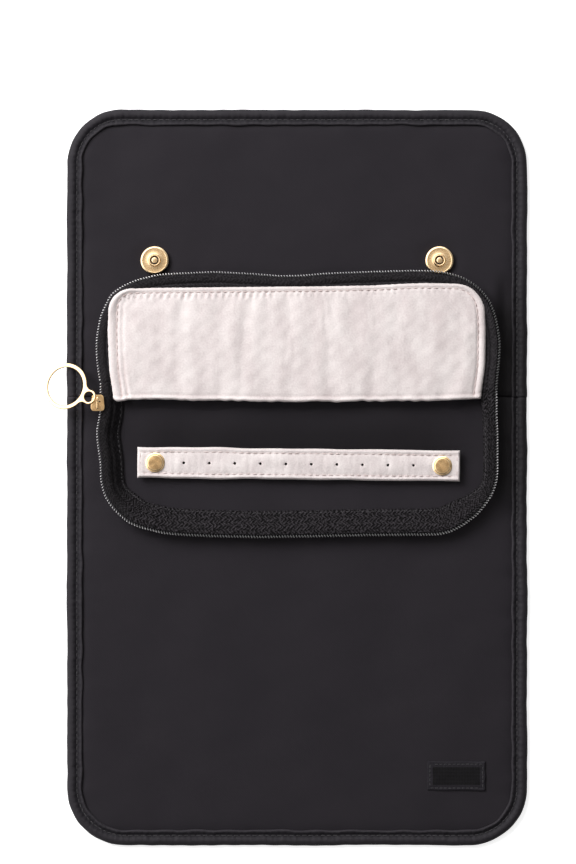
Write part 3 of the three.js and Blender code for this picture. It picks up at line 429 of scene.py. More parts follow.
def sewn_row(name, lines, pitch, share, thick, material, lift):
    """Machine stitches along lines of surface points, a little above the surface."""
    ends = [[], []]
    for line in lines:
        along = distances(line)
        s = (np.arange(int(along[-1] / pitch)) + 0.5) * pitch
        for store, shift in zip(ends, (-share / 2, share / 2)):
            store.append(places_on(line, along, s + shift * pitch) + [0, 0, lift])
    return thread_stitches(name, *(np.concatenate(store) for store in ends), thick, material)


def coil_glint(place):
    """How strongly the coil's turns are painted with highlights, from 0 to 1: most on the left and on the lower right
    bend.
    """
    x, y = place.T
    left = smooth((-48 - x) / 35)
    lower_right = smooth((x - 58) / 30) * smooth((45 - y) / 8)
    lid_right = smooth((x - 60) / 30) * smooth((y - 38) / 6)
    elsewhere = 0.52 - 0.2 * smooth(-y / 10) - 0.46 * lid_right
    return np.clip(np.maximum(left, lower_right) + elsewhere, 0, 1)


def wound_coil(name, route, start, end, material):
    """The zip's teeth: one polyester wire wound round and round beside the tape's edge, pressed wider than high."""
    turns = int((end - start) / TOOTH_PITCH)
    steps = 14
    angle = np.arange(turns * steps + 1) * 2 * math.pi / steps
    s = start + angle / (2 * math.pi) * TOOTH_PITCH
    place, inward = route.at(s)
    flat = np.cos(angle) * COIL_HALF_WIDTH * (1 + 0.12 * np.cos(angle))
    lift = np.sin(angle) * COIL_HALF_HEIGHT
    centre = np.column_stack([place + inward * flat[:, None], COIL_Z + lift])
    heading = np.gradient(centre, axis=0)
    heading /= np.linalg.norm(heading, axis=1, keepdims=True)
    out = np.column_stack([inward * (np.cos(angle) / COIL_HALF_WIDTH)[:, None], np.sin(angle) / COIL_HALF_HEIGHT])
    out -= heading * (out * heading).sum(1, keepdims=True)
    out /= np.linalg.norm(out, axis=1, keepdims=True)
    side = np.cross(heading, out)
    around = np.linspace(0, 2 * math.pi, 7)[:-1][:, None]
    points = centre[:, None] + COIL_WIRE / 2 * (out[:, None] * np.cos(around) + side[:, None] * np.sin(around))
    # The weave holds how far each turn lies across the coil, drawn towards a plain 0.1 where it gets no painted
    # highlight
    glint = coil_glint(place)
    crown = np.where(lift > -0.1, flat, COIL_HALF_WIDTH) * glint + 0.1 * (1 - glint)
    weave = np.repeat(np.column_stack([s, crown]), 6, axis=0)
    return new_piece(name, points, tube_faces(len(centre), 6), material, weave)


# Materials


def hex_colour(code):
    """An sRGB hex value as the linear colour that a shader takes."""
    parts = [int(code[i:i + 2], 16) / 255 for i in (1, 3, 5)]
    return tuple(p / 12.92 if p <= 0.04045 else ((p + 0.055) / 1.055) ** 2.4 for p in parts) + (1.0,)


def add(tree, kind, settings=None, inputs=None):
    """One node, with its settings, and its inputs as values or as links from other nodes' outputs."""
    node = tree.nodes.new(kind)
    for key, value in (settings or {}).items():
        setattr(node, key, value)
    for key, value in (inputs or {}).items():
        if isinstance(value, bpy.types.NodeSocket):
            tree.links.new(value, node.inputs[key])
        else:
            node.inputs[key].default_value = value
    return node


def cleared_tree(owner):
    owner.use_nodes = True
    owner.node_tree.nodes.clear()
    return owner.node_tree


def new_material(name, **surface):
    """A material with one shader. Names of its settings are written with _ for a space."""
    material = bpy.data.materials.new(name)
    tree = cleared_tree(material)
    shader = add(tree, "ShaderNodeBsdfPrincipled", inputs={k.replace("_", " "): v for k, v in surface.items()})
    add(tree, "ShaderNodeOutputMaterial", inputs={"Surface": shader.outputs[0]})
    return material, tree, shader


def calc(tree, operation, *values):
    return add(tree, "ShaderNodeMath", {"operation": operation}, dict(enumerate(values))).outputs[0]


def step(tree, value, start, end, low=0.0, high=1.0):
    """Runs from low to high while a value runs from start to end."""
    return add(tree, "ShaderNodeMapRange", inputs={0: value, 1: start, 2: end, 3: low, 4: high}).outputs[0]


def between(tree, fac, low, high):
    return step(tree, fac, 0.3, 0.7, low, high)


def mixed(tree, fac, first, second):
    return add(tree, "ShaderNodeMix", {"data_type": "FLOAT"}, {0: fac, 2: first, 3: second}).outputs[0]


def two_colours(tree, fac, first, second):
    """A mix of two colours, each as a hex value or as another node's output."""
    first, second = (hex_colour(c) if isinstance(c, str) else c for c in (first, second))
    return add(tree, "ShaderNodeMix", {"data_type": "RGBA"}, {"Factor": fac, 6: first, 7: second}).outputs[2]


def parts_of(tree, vector):
    return add(tree, "ShaderNodeSeparateXYZ", inputs={0: vector}).outputs


def stretched(tree, vector, factors):
    return add(tree, "ShaderNodeVectorMath", {"operation": "MULTIPLY"}, {0: vector, 1: factors}).outputs[0]


def in_millimetres(tree, source):
    return add(tree, "ShaderNodeVectorMath", {"operation": "SCALE"}, {0: source, "Scale": 1 / MM}).outputs[0]


def on_the_cloth(tree):
    return in_millimetres(tree, add(tree, "ShaderNodeUVMap", {"uv_map": "weave"}).outputs[0])


def in_space(tree):
    return in_millimetres(tree, add(tree, "ShaderNodeTexCoord").outputs["Object"])


def mottle(tree, where, size, detail=3.0):
    """Cloudy unevenness with patches about `size` millimetres across."""
    return add(tree, "ShaderNodeTexNoise", inputs={"Vector": where, "Scale": 1 / size, "Detail": detail,
                                                   "Roughness": 0.6}).outputs["Fac"]


def ridge(tree, value, pitch):
    """Even ridges across a distance in millimetres, one each `pitch`."""
    return calc(tree, "SINE", calc(tree, "MULTIPLY", value, 2 * math.pi / pitch))


def sum_of(tree, first, second, weight):
    return calc(tree, "MULTIPLY_ADD", second, weight, first)


def pointiness(tree):
    return add(tree, "ShaderNodeNewGeometry").outputs["Pointiness"]


def shade_mask(tree, sides, most):
    """A mask for painted shade: how far a place lies within sides, each as a coordinate with the values where it begins
    and is complete.
    """
    for value, start, end in sides:
        most = calc(tree, "MULTIPLY", step(tree, value, start, end), most)
    return most


def dress(tree, shader, colour, rough):
    tree.links.new(colour, shader.inputs["Base Color"])
    tree.links.new(rough, shader.inputs["Roughness"])


def wandering(tree, where, size, low, high):
    """A value that wanders from low to high in patches."""
    return between(tree, mottle(tree, where, size), low, high)


def raise_surface(tree, shader, height, distance, strength=1.0):
    bump = add(tree, "ShaderNodeBump", inputs={"Height": height, "Distance": distance * MM, "Strength": strength})
    tree.links.new(bump.outputs[0], shader.inputs["Normal"])


def cloudy_material(name, colours, colour_patch, rough, rough_patch, **surface):
    """A hard material whose colour and roughness wander in patches."""
    material, tree, shader = new_material(name, **surface)
    where = in_space(tree)
    dress(tree, shader, two_colours(tree, mottle(tree, where, colour_patch), *colours),
          wandering(tree, where, rough_patch, *rough))
    return material, tree, shader, where


def packcloth_nylon():
    """Packcloth, a plain-woven nylon with a calendered face: dark, evenly satin, faintly cloudy where it has
    been handled. Real threads lie 0.3 mm apart; they are drawn 0.8 mm apart to show."""
    material, tree, shader = new_material("packcloth_nylon", IOR=1.5, Specular_IOR_Level=0.09, Sheen_Weight=0.03,
                                          Sheen_Roughness=0.4)
    where = on_the_cloth(tree)
    x, y = parts_of(tree, where)[:2]
    # Painted shade: the channel to the right of the pouch and the pouch's floor between its hinge and the strip are
    # darkened towards near black, for the shade that the pouch casts there
    channel = shade_mask(tree, ((x, 97, 101), (y, 106, 80), (y, -24, -4)), most=0.85)
    floor = shade_mask(tree, ((calc(tree, "ABSOLUTE", x), 96, 66), (y, 38, 21), (y, 4, 12)), most=0.6)
    cloth = two_colours(tree, mottle(tree, where, 45), "#201e22", "#282529")
    dress(tree, shader, two_colours(tree, calc(tree, "MAXIMUM", channel, floor), cloth, "#060506"),
          wandering(tree, where, 12, 0.5, 0.62))
    weave = calc(tree, "MULTIPLY", ridge(tree, x, 0.8), ridge(tree, y, 0.8))
    raise_surface(tree, shader, sum_of(tree, weave, mottle(tree, where, 2.5), 1.5), 0.02)
    return material


def bias_tape():
    """Bias tape, the same nylon cut on the slant and turned under: its threads run at 45 degrees, and it is a little
    paler on its raised folds. Its threads too lie 0.3 mm apart, and are drawn 0.9 mm apart to show."""
    material, tree, shader = new_material("bias_tape", IOR=1.5, Specular_IOR_Level=0.15, Sheen_Weight=0.02,
                                          Sheen_Roughness=0.4)
    where = on_the_cloth(tree)
    x, y = parts_of(tree, where)[:2]
    weave = calc(tree, "MULTIPLY", *(ridge(tree, calc(tree, slant, x, y), 0.9) for slant in ("ADD", "SUBTRACT")))
    # Painted shade: beside the pouch the tape is darkened towards near black
    shade_beside_pouch = shade_mask(tree, ((x, -70, -44), (x, 66, 36)), most=0.6)
    cloth = two_colours(tree, step(tree, pointiness(tree), 0.5, 0.62), "#1a181c", "#3a373b")
    dress(tree, shader, two_colours(tree, shade_beside_pouch, cloth, "#060506"), wandering(tree, where, 8, 0.45, 0.6))
    raise_surface(tree, shader, sum_of(tree, weave, mottle(tree, where, 2), 1.2), 0.03)
    return material


def zip_tape():
    """Zip tape, polyester woven in a herringbone of 2.2 mm columns: matt, with slanting ribs that catch the light in
    turn. On the left and on the lid its plainer face lies up, with flatter ribs; there the colour is evened out, with
    painted shade that makes it near black on the left and darker towards the lid's right side. Real ribs lie 0.6 mm
    apart; they are drawn 1.9 mm apart to show."""
    material, tree, shader = new_material("herringbone_zip_tape", IOR=1.5, Specular_IOR_Level=0.12)
    where = on_the_cloth(tree)
    along, across = parts_of(tree, where)[:2]
    ribs = ridge(tree, calc(tree, "ADD", along, calc(tree, "PINGPONG", across, 2.2)), 1.9)
    grain = sum_of(tree, ribs, mottle(tree, where, 1.5, detail=2.0), 12.0)
    sideways, upwards = parts_of(tree, in_space(tree))[:2]
    most_smooth = 0.62
    # Painted shade: where the ribs are flatter, the colour runs to near black on the left and grows darker towards the
    # lid's right side
    lid_side = step(tree, upwards, 41.0, 48.0, 0.0, most_smooth)
    smoother_and_shaded = calc(tree, "MAXIMUM", lid_side, step(tree, sideways, -80.0, -88.0, 0.0, 0.75))
    lid_painted_shade = step(tree, sideways, 70.0, 88.0, 0.42, 0.24)
    calm_and_shade = step(tree, lid_side, 0.0, most_smooth, 0.04, lid_painted_shade)
    shade = mixed(tree, smoother_and_shaded, step(tree, grain, 5.0, 7.5), calm_and_shade)
    dress(tree, shader, two_colours(tree, shade, "#030203", "#363336"), wandering(tree, where, 3, 0.55, 0.75))
    raise_surface(tree, shader, grain, 0.2, calc(tree, "SUBTRACT", 1.0, smoother_and_shaded))
    return material


def coil_monofilament():
    """Polyester monofilament, drawn and heat-set into a coil: black and glossy, with a painted highlight on the outer
    top of each turn, so that each turn shows as a bright dot."""
    material, tree, shader = new_material("coil_monofilament", IOR=1.57, Specular_IOR_Level=0.9)
    where = on_the_cloth(tree)
    glinting = step(tree, parts_of(tree, where)[1], 0.1, -0.32)
    patchy_glint = calc(tree, "MULTIPLY", glinting, wandering(tree, in_space(tree), 22, 0.8, 1.2))
    dress(tree, shader, two_colours(tree, patchy_glint, "#0d0c0e", "#e2dfe1"), wandering(tree, where, 1.5, 0.2, 0.34))
    return material


def microsuede():
    """Microsuede, a knitted polyester with a sanded nap: very matt, with paler and darker patches where the nap lies
    different ways, a fine grain of fibre ends, painted shade in its creases and paler colour on its sharpest raised
    edges. Real tufts of fibre are about 0.2 mm wide; they are drawn 0.9 mm wide to show."""
    material, tree, shader = new_material("blush_microsuede", IOR=1.45, Sheen_Weight=0.25, Sheen_Roughness=0.6,
                                          Sheen_Tint=hex_colour("#fff4f1"))
    where = on_the_cloth(tree)
    nap = mottle(tree, stretched(tree, where, (1, 0.55, 1)), 13, detail=5.0)
    fibre = mottle(tree, where, 0.9, detail=2.0)
    bent = pointiness(tree)
    cloth = two_colours(tree, step(tree, sum_of(tree, nap, fibre, 0.5), 0.58, 0.92), "#d5c9c8", "#ece3e1")
    # Painted shade darkens the creases, and the sharpest raised edges are drawn paler
    cloth = two_colours(tree, step(tree, bent, 0.49, 0.42), cloth, "#bfa9a6")
    cloth = two_colours(tree, step(tree, bent, 0.52, 0.62), cloth, "#f1e8e6")
    dress(tree, shader, cloth, between(tree, nap, 0.85, 0.98))
    raise_surface(tree, shader, sum_of(tree, fibre, nap, 0.8), 0.12)
    return material


def pale_gold_plate():
    """Pale gold flash over polished brass or zinc: a warm mirror, slightly cloudy, with hairline handling
    scratches. Real ones are a few hundredths of a millimetre wide; they are drawn about 0.2 mm wide to show."""
    material, tree, shader, where = cloudy_material("pale_gold_plate", ("#e3c090", "#f0d6ab"), colour_patch=3,
                                                    rough=(0.08, 0.16), rough_patch=1.2, Metallic=1.0)
    hair = stretched(tree, where, (0.4, 6, 1))
    raise_surface(tree, shader, mottle(tree, hair, 1, detail=2.0), 0.01, 0.4)
    return material


def satin_gold_plate():
    """The same plating over die-cut brass that was tumbled, not polished: an even satin, a little grainy. The
    marks of real tumbling stones are 0.1 mm wide; they are drawn 0.5 mm wide to show."""
    material, tree, shader, where = cloudy_material("satin_gold_plate", ("#dabb90", "#ead2ac"), colour_patch=2.2,
                                                    rough=(0.2, 0.3), rough_patch=0.8, Metallic=1.0)
    raise_surface(tree, shader, mottle(tree, where, 0.5, detail=2.0), 0.02, 0.5)
    return material


def sewing_thread(name, first, second):
    """Spun polyester sewing thread: soft satin, its twist showing as tiny slanting ribs, one each 0.35 mm, as
    three plies at 950 turns in a metre give."""
    material, tree, shader = new_material(name, IOR=1.5, Sheen_Weight=0.2, Sheen_Roughness=0.5, Roughness=0.6)
    where = in_space(tree)
    x, y, z = parts_of(tree, where)
    tree.links.new(two_colours(tree, mottle(tree, where, 1.2), first, second), shader.inputs["Base Color"])
    raise_surface(tree, shader, ridge(tree, sum_of(tree, calc(tree, "ADD", x, y), z, 0.5), 0.35), 0.02)
    return material


def woven_satin():
    """Woven damask label tape, left blank: a dense black satin with ribs along its length, greyer round the edge,
    where it is turned under and lies double. Real ribs lie 0.2 mm apart; they are drawn 0.7 mm apart to show."""
    material, tree, shader = new_material("woven_label_satin", IOR=1.5, Specular_IOR_Level=0.06, Sheen_Weight=0.02,
                                          Sheen_Roughness=0.4)
    where = on_the_cloth(tree)
    x, y = parts_of(tree, where)[:2]
    ribs = sum_of(tree, ridge(tree, y, 0.7), ridge(tree, x, 1.4), 0.4)
    shade = step(tree, ribs, -1.2, 1.2)
    inside = []
    for value, (low, high) in zip((x, y), (span("label_patch", 0), span("label_patch", 1))):
        off_middle = calc(tree, "ABSOLUTE", calc(tree, "SUBTRACT", value, (low + high) / 2))
        inside.append(calc(tree, "SUBTRACT", (high - low) / 2, off_middle))
    turned_under = step(tree, calc(tree, "MINIMUM", *inside), 2.9, 2.4)
    dress(tree, shader, two_colours(tree, turned_under, two_colours(tree, shade, "#100f10", "#1b1a1c"),
                                    two_colours(tree, shade, "#222024", "#2d2b2f")),
          wandering(tree, where, 4, 0.55, 0.7))
    raise_surface(tree, shader, ribs, 0.05)
    return material


NYLON = packcloth_nylon()
BIAS_TAPE = bias_tape()
ZIP_TAPE = zip_tape()
COIL = coil_monofilament()
SUEDE = microsuede()
GOLD = pale_gold_plate()
SATIN_GOLD = satin_gold_plate()
# Bright zinc-plated steel of the washers behind the magnetic snaps: grey, with a fine crystal bloom
STEEL = cloudy_material("zinc_plated_steel", ("#a9abb0", "#c4c5c9"), colour_patch=1.5, rough=(0.3, 0.45),
                        rough_patch=0.7, Metallic=1.0)[0]
# Pressed ferrite, the ring magnet at the bottom of the snap's hole: charcoal, sintered, a little sandy
FERRITE = cloudy_material("ferrite_magnet", ("#17130f", "#2b241c"), colour_patch=0.6, rough=(0.5, 0.7),
                          rough_patch=0.4, IOR=1.8)[0]
BLACK_THREAD = sewing_thread("black_polyester_thread", "#171518", "#262327")
BLUSH_THREAD = sewing_thread("blush_polyester_thread", "#c4b0ad", "#d6c7c4")
LABEL_SATIN = woven_satin()


# Panel


def blend_across(piece, first, second, start, end):
    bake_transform(piece)


def half_width(y):
    """Half the padded cloth's width at y."""
    low, high = PANEL_LOW + CLOTH_INSET, PANEL_HIGH - CLOTH_INSET
    bottom, top = BOTTOM_CORNER - CLOTH_INSET, TOP_CORNER - CLOTH_INSET
    into_bottom = np.clip(low + bottom - y, 0, bottom)
    into_top = np.clip(y - (high - top), 0, top)
    return (PANEL_HALF - CLOTH_INSET - (bottom - np.sqrt(np.maximum(bottom ** 2 - into_bottom ** 2, 0)))
            - (top - np.sqrt(np.maximum(top ** 2 - into_top ** 2, 0))))


def panel_relief(x, y):
    """How the padded cloth rises and falls: soft hollows, puckers beside the binding and dips at fastenings."""
    side = PANEL_HALF - np.abs(x) - BINDING_WIDTH
    end = np.minimum(y - PANEL_LOW, PANEL_HIGH - y) - BINDING_WIDTH
    height = 0.28 * waves(x, y, 70, 3) + 0.1 * waves(x, y, 24, 4)
    height += 0.16 * np.exp(-np.maximum(side, 0) / 7) * waves(x * 0.25, y, 13, 5)
    height += 0.16 * np.exp(-np.maximum(end, 0) / 7) * waves(x, y * 0.25, 15, 6)
    height -= 0.5 * np.exp(-np.maximum(np.minimum(side, end), 0) / 2.2)
    height -= 1.1 * hump(y - CROSS_SEAM_Y, 0.9)
    # The hollow between the pouch's right wall and the binding
    height -= 0.9 * hump(x - 103.5, 3) * smooth((y + 14) / 16) * smooth((104 - y) / 16)
    for name in ("magnet_socket_left", "magnet_socket_right"):
        cx, cy, _ = middle(name)
        height -= 0.45 * hump(np.maximum(np.hypot(x - cx, y - cy) - 7, 0), 3.2)
    return np.clip(height, -1.4, 0.55)


def padded_cloth(half):
    low, high = (PANEL_LOW + CLOTH_INSET, CROSS_SEAM_Y) if half == "lower" else (CROSS_SEAM_Y, PANEL_HIGH - CLOTH_INSET)
    y = low + (high - low) * eased(CLOTH_ROWS[half], 0.25)
    u = crowded(CLOTH_COLUMNS, 0.9)
    grid_y = np.repeat(y[:, None], len(u), axis=1)
    grid_x = half_width(grid_y) * u
    edge = np.minimum(half_width(grid_y) - np.abs(grid_x), np.abs(grid_y - (low if half == "lower" else high)))
    rise = FACE_Z - CLOTH_EDGE_Z + panel_relief(grid_x, grid_y)
    top = np.stack([grid_x, grid_y, CLOTH_EDGE_Z + rise * smooth(edge / 4)], axis=-1)
    bottom = np.stack([grid_x, grid_y, 0.9 - 0.5 * smooth((edge - 4) / 6)], axis=-1)
    piece = padded_sheet("padded_cloth_" + half, top, bottom, NYLON)
    layers = ("outer_shell", "padding", "lining")
    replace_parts(piece, "fold_strip_" + half, *[f"{layer}_{half}" for layer in layers])
    if half == "lower":
        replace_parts(piece, *[layer + "_centre" for layer in layers])
    blend_across(piece, *FOLDS[half])


def binding(half):
    route = Route(panel_edge(half))
    stations = np.linspace(0, route.length, int(route.length / BINDING_STEP))

    def outline(s):
        edge_sway = 0.3 * sway(s, 42, 11) + 0.12 * sway(s, 9, 12)
        lip = 0.28 * sway(s, 16, 13)
        pucker = 0.34 * beats(s, BINDING_STITCH) + 0.22 * sway(s, 6, 14)
        rows = np.repeat(np.array(BINDING_SECTION)[None], len(s), axis=0)
        inner = smooth((rows[:, :, 0] - 4) / 4)
        high = smooth((rows[:, :, 1] - 1.5) / 1.5)
        near = hump(rows[:, :, 0] - BINDING_STITCH_LINE, 2.2)
        rows[:, :, 0] += edge_sway[:, None] * (1 - inner) * 0.8 + lip[:, None] * inner
        rows[:, :, 1] += high * (near * pucker[:, None] + 0.1 * sway(s, 21, 15)[:, None])
        return rows

    # Both halves of the tape are measured from the cross seam's right end
    piece = swept_strip("binding_tape_" + half, route, stations, outline, BIAS_TAPE,
                        -route.length if half == "lower" else 0.0)
    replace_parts(piece, "binding_" + half)
    if half == "lower":
        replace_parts(piece, "binding_left", "binding_right")
    stitches = stitches_along("binding_stitches_" + half, route, lambda s: np.full(len(s), BINDING_STITCH_LINE),
                              lambda s, across: np.full(len(s), BINDING_STITCH_Z), BINDING_STITCH, share=0.8,
                              thick=0.42, material=BLACK_THREAD)
    for part in (piece, stitches):
        blend_across(part, *FOLDS[half])


for name in ("lower", "upper"):
    padded_cloth(name)
    binding(name)


# Zip: two halves of tape with their coils, and the short bends that join them at both ends of the hinge


def tape_height(across, wide, foot, flat):
    """The top of the woven tape: level beside its coil, then running down to where it is sewn."""
    run = (across - flat) / (wide - flat)
    return TAPE_TOP - (TAPE_TOP - foot) * (0.55 * smooth(run * 0.97) + 0.45 * np.clip(run, 0, 1))


def tape_section(s, route, width, foot, flat):
    place, _ = route.at(s)
    wide = width(place)[:, None]
    share = np.array([0, 0.03, 0.12, 0.24, 0.36, 0.45, 0.5, 0.55, 0.64, 0.76, 0.86, 0.93, 0.97, 1.0])[None]
    across = TAPE_GAP + (wide - TAPE_GAP) * share
    top = tape_height(across, wide, foot(place)[:, None], flat(place)[:, None])
    # A groove along the middle of the tape and a raised selvedge, then soft unevenness
    top += 0.45 * hump(share - 0.96, 0.03) - 0.8 * hump(share - 0.5, 0.045)
    top += (0.14 * sway(s, 17, 21)[:, None] + 0.09 * waves(s[:, None], across * 3, 6, 22)) * smooth(share * 3)
    upper = np.stack([across, top], axis=-1)
    lower = np.stack([across, top - TAPE_THICK], axis=-1)[:, ::-1]
    return np.concatenate([upper, lower], axis=1)


LOWER_ROUTE = Route(COIL_LOWER, 2.2)
LID_ROUTE = Route(COIL_LID[::-1], 2.2)


def lower_width(place):
    """The lower half's tape is wide on the left and along the bottom, and half folded away on the right."""
    left = 10.8 + 1.9 * smooth((-6 - place[:, 1]) / 14)
    right = 6.5 + 6.2 * smooth((-3 - place[:, 1]) / 23)
    return left + (right - left) * smooth((place[:, 0] + 20) / 50)


def lid_width(place):
    return LID_TAPE + smooth((place[:, 1] - 84) / 12)


def lower_height(s, across):
    place, _ = LOWER_ROUTE.at(s)
    return tape_height(across, lower_width(place), LOWER_FOOT, LOWER_FLAT) + 0.05


def always(value):
    return lambda place: np.full(len(place), value)


def zip_half(half, node, route, body, width, foot, flat, coil_from):
    stations = np.linspace(0, route.length, int(route.length / TAPE_STEP))
    tape = swept_strip("zip_tape_" + half, route, stations,
                       lambda s: tape_section(s, route, width, always(foot), always(flat)), ZIP_TAPE)
    coil = wound_coil("zip_coil_" + half, route, coil_from, route.length - COIL_ENDS, COIL)
    for piece, kind in ((tape, "zip_tape"), (coil, "zip_coil")):
        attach(piece, body)
        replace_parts(piece, f"{kind}_{node}")


def zip_bend(side):
    """The short run of zip that turns as the lid opens. It widens and drops from the lid's tape to the base's."""
    points, start, end = ZIP_BENDS[side]
    route = Route(points)

    def towards_lid(low, high):
        return lambda place: low + (high - low) * smooth((place[:, 1] - start) / (end - start))

    base_width = lower_width(route.points[:1])[0] if side == "right" else LID_TAPE
    tape = swept_strip("zip_bend_tape_" + side, route, np.linspace(0, route.length, 18),
                       lambda s: tape_section(s, route, towards_lid(base_width, LID_TAPE),
                                              towards_lid(LOWER_FOOT + 1.2, LID_FOOT),
                                              towards_lid(LOWER_FLAT, LID_FLAT)), ZIP_TAPE)
    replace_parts(tape, "zip_bend_" + side)
    coil = wound_coil("zip_bend_coil_" + side, route, COIL_ENDS, route.length - 0.1, COIL)
    for piece in (tape, coil):
        blend_across(piece, "panel", "lid", start, end)


zip_half("lower", "base", LOWER_ROUTE, "panel", lower_width, LOWER_FOOT, LOWER_FLAT, LOWER_COIL_START)
zip_half("lid", "lid", LID_ROUTE, "lid", lid_width, LID_FOOT, LID_FLAT, COIL_ENDS)
row = stitches_along("zip_tape_stitches_lower", LOWER_ROUTE,
                     lambda s: lower_width(LOWER_ROUTE.at(s)[0]) - 1.1, lower_height, pitch=2.6, share=0.78,
                     thick=0.36, material=BLACK_THREAD)
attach(row, "panel")
for name in ZIP_BENDS:
    zip_bend(name)


# Lid: its padded shell, and the cloth spine that it turns on


def pocket_shape(u, v, grow=0.0, mouth=None):
    """A point of the pocket's outline grid: u from left to right, v from the mouth to the top edge."""
    left, right, top = curve_of(POCKET_LEFT), curve_of(POCKET_RIGHT), curve_of(POCKET_TOP)
    low = curve_of(POCKET_MOUTH) if mouth is None else (lambda x: np.full_like(x, mouth))
    guess = POCKET_BOTTOM + v * POCKET_RISE
    high = POCKET_BOTTOM + POCKET_RISE + grow
    round_off = [r - np.sqrt(r ** 2 - np.clip(guess - (high - r), 0, r) ** 2) for r in POCKET_CORNERS]
    x0 = left(guess) - grow + round_off[0]
    x1 = right(guess) + grow - round_off[1]
    x = x0 + (x1 - x0) * u
    return x, low(x) + (top(x) + grow - low(x)) * v


def lid_pad():
    u, v = np.meshgrid(np.linspace(0, 1, 90), np.linspace(0, 1, 40))
    x, y = pocket_shape(u, v, grow=1.2, mouth=38.3)
    edge = np.minimum(np.minimum(u, 1 - u) * 180, np.minimum(v, 1 - v) * 57)
    top = np.stack([x, y, 5.0 + 2.2 * smooth(edge / 5) + 0.15 * waves(x, y, 30, 41)], axis=-1)
    bottom = np.stack([x, y, 4.6 - 1.1 * smooth(edge / 5)], axis=-1)
    piece = padded_sheet("lid_pad", top, bottom, NYLON)
    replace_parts(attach(piece, "lid"), "lid_shell", "lid_foam", "lid_lining")


def hinge_spine():
    """The cloth that the lid turns on: the panel's own nylon, drawn up to the lid's lower edge."""
    left, right = span("pouch_spine", 0)
    x = np.linspace(left, right, 160)
    y = HINGE_SLOPE[:, :1] + 0.3 * sway(x, 30, 51)
    rise = smooth(np.minimum(x - left, right - x) / 9)
    z = HINGE_FOOT_Z + (HINGE_SLOPE[:, 1:] - HINGE_FOOT_Z) * rise + 0.15 * sway(x, 22, 52)
    top = np.stack([np.broadcast_to(x, y.shape), y, z], axis=-1)
    piece = padded_sheet("hinge_spine", top, top - np.array([0, 0, 0.5]), NYLON)
    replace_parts(piece, "pouch_spine")
    blend_across(piece, "panel", "lid", *HINGE_TURN)


lid_pad()
hinge_spine()


# Slip pocket: a microsuede sheet sewn to the lid on three sides, whose slack is found by a cloth simulation


def slack_pocket(points, held):
    """The pocket's sheet blown out gently between its seams, as the slack of the real one stands up."""
    flat = points.reshape(-1, 3).copy()
    piece = new_piece("pocket_form", flat, quads(*points.shape[:2]), SUEDE)
    group = piece.vertex_groups.new(name="sewn")
    group.add(np.flatnonzero(held.ravel()).tolist(), 1.0, "REPLACE")
    if sum(p.normal.z for p in piece.data.polygons) < 0:
        piece.data.flip_normals()
    cloth = piece.modifiers.new("slack", "CLOTH")
    for key, value in POCKET_SLACK.items():
        setattr(cloth.settings, key, value)
    cloth.settings.effector_weights.gravity = 0
    cloth.point_cache.frame_end = SLACK_FRAMES
    for number in range(1, SLACK_FRAMES + 1):
        bpy.context.scene.frame_set(number)
    shaped = piece.evaluated_get(bpy.context.evaluated_depsgraph_get())
    moved = np.array([v.co for v in shaped.data.vertices]) / MM - flat
    bpy.context.scene.frame_set(1)
    bpy.data.objects.remove(piece)
    far = np.linalg.norm(moved, axis=1, keepdims=True)
    moved *= np.minimum(1, SLACK_MOST / np.maximum(far, 1e-9)) * np.array(SLACK_KEPT)
    moved[:, 2] = np.maximum(moved[:, 2], SLACK_LOWEST)
    return (flat + moved).reshape(points.shape)


def pocket_outline():
    """The pocket's sewn edge, from the mouth up its right side, along the top and down its left side."""
    up, back = np.linspace(0, 1, 240), np.linspace(1, 0, 500)
    sides = [pocket_shape(np.ones_like(up), up), pocket_shape(back, np.ones_like(back)),
             pocket_shape(np.zeros_like(up), up[::-1])]
    return np.concatenate([np.column_stack(side) for side in sides])


POCKET_ROUTE = Route(pocket_outline(), 0.6)


def hem_width(inward):
    """How far the stitch line is from the sewn edge, by the side that the edge faces."""
    side = np.where(inward[..., 0] > 0, *POCKET_HEM)
    return side * inward[..., 0] ** 2 + POCKET_TOP_HEM * inward[..., 1] ** 2


def on_grid(grid, row, column):
    """A point of a grid surface between its rows and columns."""
    r = np.clip(row.astype(int), 0, grid.shape[0] - 2)
    c = np.clip(column.astype(int), 0, grid.shape[1] - 2)
    fr, fc = (row - r)[..., None], (column - c)[..., None]
    return ((grid[r, c] * (1 - fc) + grid[r, c + 1] * fc) * (1 - fr)
            + (grid[r + 1, c] * (1 - fc) + grid[r + 1, c + 1] * fc) * fr)


def surface_height(grid, x, y):
    """The height of a grid surface over points of the table, from its four nearest corners."""
    flat = grid.reshape(-1, 3)
    away = np.hypot(x[:, None] - flat[:, 0], y[:, None] - flat[:, 1])
    near = np.argpartition(away, 4, axis=1)[:, :4]
    weight = 1 / (np.take_along_axis(away, near, axis=1) + 0.05)
    return (flat[near, 2] * weight).sum(axis=1) / weight.sum(axis=1)


